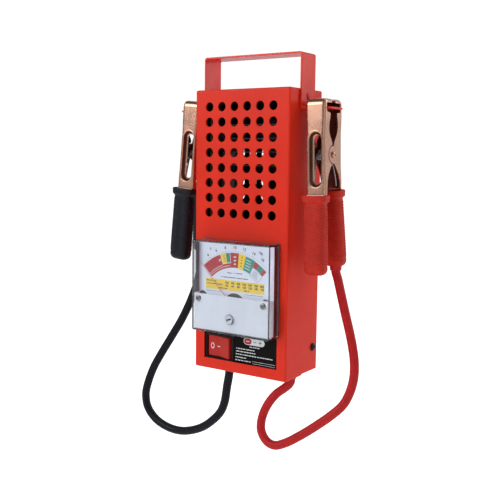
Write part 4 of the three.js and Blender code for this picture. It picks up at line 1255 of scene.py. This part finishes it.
def add_jaw(colour, half_name, ear, body):
    name = f"{colour}_jaw_{half_name}"
    place = clamp_place(colour) @ (HALF_TURN if half_name == "rear" else Matrix.Identity(4))
    jaw = to_object(f"{name}_plate", jaw_mesh(ear), "copper", place=place)
    wall = jaw.modifiers.new("wall", "SOLIDIFY")
    wall.thickness = CLAMP_T * MM
    wall.offset = 0
    wall.use_even_offset = True
    settle(jaw)
    if ear == "inside":
        slot = stadium(SLOT_R + 1.4, SLOT_LOW, SLOT_HIGH)
        cut(jaw, add_plate(bmesh.new(), slot, -CLAMP_FACE - 3, 8), place)
    bore = add_rod(bmesh.new(), "x", (-20, 20), (0, 0), PIN_R + GAP, 32)
    cut(jaw, bore, place)
    edge_round(jaw, 0.28, 2, 50)
    settle(jaw, 42)
    # painted shade on the faces inside the channel
    paint_shade_inside(jaw, "copper_painted_shade", in_jaw, place)
    extra = bmesh.new()
    if ear == "inside":
        add_slot_rim(extra)
        for side in (-1, 1):
            low, high = sorted((side * EAR_INNER, side * EAR_OUTER))
            add_rod(extra, "x", (low, high), (0, 0), EAR_R, 48, rim=0.3)
            add_box(extra, (low, -14.5, -EAR_ROOT), (high, -3, EAR_ROOT), 0.3, 2)
            low, high = sorted((side * EAR_INNER, side * EAR_FOOT))
            add_box(extra, (low, -14.5, -EAR_ROOT), (high, -10, EAR_ROOT), 0.3, 2)
    tilt = 0 if ear == "inside" else REAR_TILT_DEG
    tongue = add_box(bmesh.new(), (-9, -0.75, -32), (9, 0.75, FEET[ear] + 29), 0.3, 2)
    tongue.transform(shift(0, -CLAMP_FACE + 0.75, -29) @ spin(-tilt, "X"))
    join_in(extra, tongue)
    bmesh.ops.recalc_face_normals(extra, faces=extra.faces)
    extra.transform(Matrix.Scale(MM, 4) @ place)
    whole = bmesh.new()
    whole.from_mesh(jaw.data)
    join_in(whole, extra)
    whole.to_mesh(jaw.data)
    whole.free()
    jaw.data.shade_smooth()
    jaw.data.set_sharp_from_angle(angle=math.radians(42))
    dress(jaw, body, [name])


PEBBLE_PITCH, PEBBLE_H = 3.1, 0.5
GRIP_L, GRIP_END, GRIP_ROW, GRIP_COLUMNS = 73.0, 7.0, 0.62, 132
GRIP_BASE, GRIP_MOUTH = (10.6, 7.3), (12.6, 8.7)  # half widths of the body and of the open top


def ripple(depth, middle):
    """1 in the middle of a narrow ring round the sleeve, and 0 away from it."""
    return math.exp(-((depth - middle) / 0.5) ** 2)


def grip_mesh():
    """A dipped sleeve along -Z from its open top: flared collar, pebbled body and a round end."""
    columns = GRIP_COLUMNS
    stations = []
    depth = 0.0
    while depth < GRIP_L - GRIP_END:
        stations.append((depth, 0.0))
        depth += GRIP_ROW
    for turn in np.linspace(0, math.pi / 2 * 0.97, 14):
        stations.append((GRIP_L - GRIP_END + GRIP_END * math.sin(turn), 1 - math.cos(turn)))
    angles = TAU * np.arange(columns) / columns
    power = 2 / 3.4
    unit = np.stack([np.sign(np.cos(angles)) * np.abs(np.cos(angles)) ** power,
                     np.sign(np.sin(angles)) * np.abs(np.sin(angles)) ** power], 1)
    base = unit * GRIP_BASE
    steps = np.linalg.norm(np.roll(base, -1, 0) - base, axis=1)
    around = np.concatenate([[0], np.cumsum(steps)[:-1]])
    total = steps.sum()
    waves = round(total / PEBBLE_PITCH)
    rings = []
    heights = []
    for depth, closing in stations:
        flare = 1 - soft_step(depth, 4.6, 7.4)
        lip = 0.25 * math.exp(-((depth - 0.9) / 1.2) ** 2)
        bulge = 0.35 * soft_step(depth, 8, 60)
        half_x = 10.3 + 2.2 * flare + bulge + lip
        half_y = 7.0 + 1.6 * flare + bulge + lip
        narrowing = 6.4 * closing ** 1.25
        ring = unit * (max(half_x - narrowing, 0.4), max(half_y - narrowing, 0.4))
        fade = soft_step(depth, 8.5, 11) * (1 - soft_step(depth, GRIP_L - 10.5, GRIP_L - 8))
        if fade > 0:
            wave = np.cos(TAU * waves * around / total) * math.cos(TAU * depth / PEBBLE_PITCH)
            normal = ring / np.linalg.norm(ring, axis=1)[:, None]
            ring = ring + normal * (PEBBLE_H * fade * wave)[:, None]
            heights.append(fade * wave)
        else:
            heights.append(np.zeros(columns))
        groove = 0.35 * ripple(depth, GRIP_L - 8.6) + 0.3 * ripple(depth, 7.9)
        ring = ring * (1 - groove / 10)
        rings.append(np.column_stack([ring, np.full(columns, -depth)]))
    mouth = []
    lip_line = ((0.985, -0.35), (0.95, -0.55), (0.90, -0.5), (0.86, -0.2), (0.84, 0.6), (0.84, 6.0))
    for scale, depth in lip_line:
        edge = unit * (GRIP_MOUTH[0] * scale, GRIP_MOUTH[1] * scale)
        mouth.append(np.column_stack([edge, np.full(columns, -depth)]))
    bm = bmesh.new()
    # relief height per vertex, which the grip's material turns into painted shade in the hollows; the mouth
    # gets none
    layer = bm.verts.layers.float.new("relief")
    add_loft(bm, mouth[::-1] + rings)
    flat = np.concatenate([np.ones(len(mouth) * columns)] + heights)
    for vert, height in zip(bm.verts, flat):
        vert[layer] = height
    return bm


def add_boot(colour):
    """The soft neck under the rear sleeve that the lead goes into."""
    x, y, end = ROUTES[colour][-1]
    inner = CORD_R + 0.15
    wall = ((0, 1), (0, -1.9), (0.3, -2.2), (0.8, -1.8), (1.0, -0.6), (1.2, 1.5), (1.4, 5))
    profile = [(0, end + 1)] + [(inner + out, end + up) for out, up in wall] + [(0, end + 5)]
    boot = add_lathe(bmesh.new(), profile, 40, shift(x, y, 0))
    to_object(f"{colour}_lead_boot", boot, f"{colour}_cable", f"{colour}_clamp")


def add_grip(colour, half_name, body):
    front = half_name == "front"
    tilt, y_top, z_top = (0.0, -16.3, -37.5) if front else (REAR_TILT_DEG, -14.0, -33.5)
    turned = clamp_place(colour) @ (Matrix.Identity(4) if front else HALF_TURN)
    place = turned @ shift(0, y_top, z_top) @ spin(-tilt, "X")
    to_object(f"{colour}_sleeve_{half_name}", grip_mesh(), f"{colour}_grip", body,
              [f"{colour}_grip_{half_name}"], place=place, smooth_deg=75)


def add_pin(colour):
    profile = [(0, -11.2), (1.2, -11.4), (2.2, -11.3), (2.8, -11.0), (3.0, -10.5), (PIN_R, -10.4),
               (PIN_R, 10.4), (3.0, 10.5), (2.8, 11.1), (2.2, 11.5), (1.5, 11.55), (1.2, 10.9), (0, 10.8)]
    place = clamp_place(colour) @ spin(90, "Y")
    to_object(f"{colour}_rivet_pin", add_lathe(bmesh.new(), profile, 40), "copper", f"{colour}_clamp",
              [f"{colour}_pivot_pin"], place=place)


def add_spring(colour):
    """Torsion spring: coils round the pin and one leg down each half."""
    turns, radius = 5, 4.4
    points = [(-5.4, -10.4, -29), (-5.4, -9.6, -24), (-5.4, -7.0, -10)]
    for i in range(turns * 12 + 1):
        turn = math.pi + TAU * i / 12
        points.append((-5.2 + 10.4 * i / (turns * 12), radius * math.cos(turn), radius * math.sin(turn)))
    points += [(5.4, 7.0, -10), (5.4, 12.6, -24), (5.4, 13.6, -29)]
    path, _ = smooth_path(points, 0.7)
    bm = add_tube(bmesh.new(), path, 0.85, 12)
    place = clamp_place(colour)
    spring = to_object(f"{colour}_coil", bm, "steel", place=place, smooth_deg=60)
    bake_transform(spring)
    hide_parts(f"{colour}_spring")


for clamp_colour in CLAMPS:
    add_jaw(clamp_colour, "front", "inside", f"{clamp_colour}_jaw")
    add_jaw(clamp_colour, "rear", "outside", f"{clamp_colour}_clamp")
    add_grip(clamp_colour, "front", f"{clamp_colour}_jaw")
    add_grip(clamp_colour, "rear", f"{clamp_colour}_clamp")
    add_boot(clamp_colour)
    add_pin(clamp_colour)
    add_spring(clamp_colour)


# ---- CAD nodes that stay get their finish ----
SLOT_LOOK = {
    "case_paint": "paint", "black_screws": "black_screw", "black_plastic": "black", "label": "label",
    "rocker_red": "rocker", "mask_white": "mask", "dial_white": "dial", "clear_plastic": "clear",
    "needle_red": "needle", "steel": "steel", "black_steel": "black_steel", "resistor": "resistor",
    "brass": "brass", "copper_wire": "copper_wire", "fibre": "fibre", "red_cable": "red_cable",
    "black_cable": "black_cable", "copper_plate": "copper", "red_grip": "red_grip",
    "black_grip": "black_grip",
}
for part in frame["record"]["subparts"]:
    node = frame["nodes"][part["node"]]
    node.data.materials.clear()
    node.data.materials.append(LOOK[SLOT_LOOK[part["material_slot"]]])


# ---- floor, light and world ----
CENTRE = (0, 0, -0.17)


def add_stage():
    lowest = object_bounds()[0].z
    floor = bmesh.new()
    bmesh.ops.create_grid(floor, x_segments=1, y_segments=1, size=9000)
    floor.transform(shift(0, 0, (lowest - 0.06) / MM))
    n = Nodes("studio_floor", Emission_Color=(1.0, 1.0, 1.0))
    path = n.add("ShaderNodeLightPath")
    n.set(n.shader, "Emission Strength", n.span(path.outputs["Is Camera Ray"], 0.22, 0.8, 0.0, 1.0))
    LOOK["floor"] = n.finish(n.blend(n.span(n.noise(3), 0, 1), (0.90, 0.90, 0.90), (0.92, 0.92, 0.92)), 0.9)
    to_object("floor", floor, "floor")


def add_area(name, place, size, watts):
    """A soft rectangular lamp, in metres, that faces the middle of the tester."""
    data = bpy.data.lights.new(name, "AREA")
    data.shape = "RECTANGLE"
    data.size, data.size_y = size
    data.energy = watts
    lamp = add_to_scene(name, data)
    lamp.location = place
    lamp.rotation_mode = "QUATERNION"
    lamp.rotation_quaternion = (Vector(CENTRE) - Vector(place)).to_track_quat("-Z", "Y")


def add_world():
    world = bpy.data.worlds.new("studio")
    world.use_nodes = True
    bpy.context.scene.world = world
    tree = world.node_tree
    lit = tree.nodes["Background"]
    lit.inputs["Color"].default_value = (0.95, 0.97, 1.0, 1)
    heading = tree.nodes.new("ShaderNodeSeparateXYZ")
    tree.links.new(tree.nodes.new("ShaderNodeTexCoord").outputs["Generated"], heading.inputs[0])
    dim_front = tree.nodes.new("ShaderNodeMapRange")
    tree.links.new(heading.outputs["Y"], dim_front.inputs["Value"])
    for socket, value in (("From Min", -0.6), ("From Max", 0.5), ("To Min", 0.16), ("To Max", 0.6)):
        dim_front.inputs[socket].default_value = value
    tree.links.new(dim_front.outputs["Result"], lit.inputs["Strength"])
    seen = tree.nodes.new("ShaderNodeBackground")
    seen.inputs["Color"].default_value = (1, 1, 1, 1)
    seen.inputs["Strength"].default_value = 1.05
    mix = tree.nodes.new("ShaderNodeMixShader")
    path = tree.nodes.new("ShaderNodeLightPath")
    tree.links.new(path.outputs["Is Camera Ray"], mix.inputs[0])
    tree.links.new(lit.outputs[0], mix.inputs[1])
    tree.links.new(seen.outputs[0], mix.inputs[2])
    tree.links.new(mix.outputs[0], tree.nodes["World Output"].inputs["Surface"])


add_stage()
add_area("key", (-0.75, -1.25, 0.55), (0.9, 0.9), 11)
add_area("fill", (1.0, -0.7, 0.1), (0.5, 1.2), 1.1)
add_area("top", (0.0, 0.1, 1.1), (1.2, 1.0), 3)
add_area("rim", (0.9, 0.9, 0.5), (0.6, 1.0), 3)
add_world()
bpy.context.scene.view_settings.view_transform = "Standard"
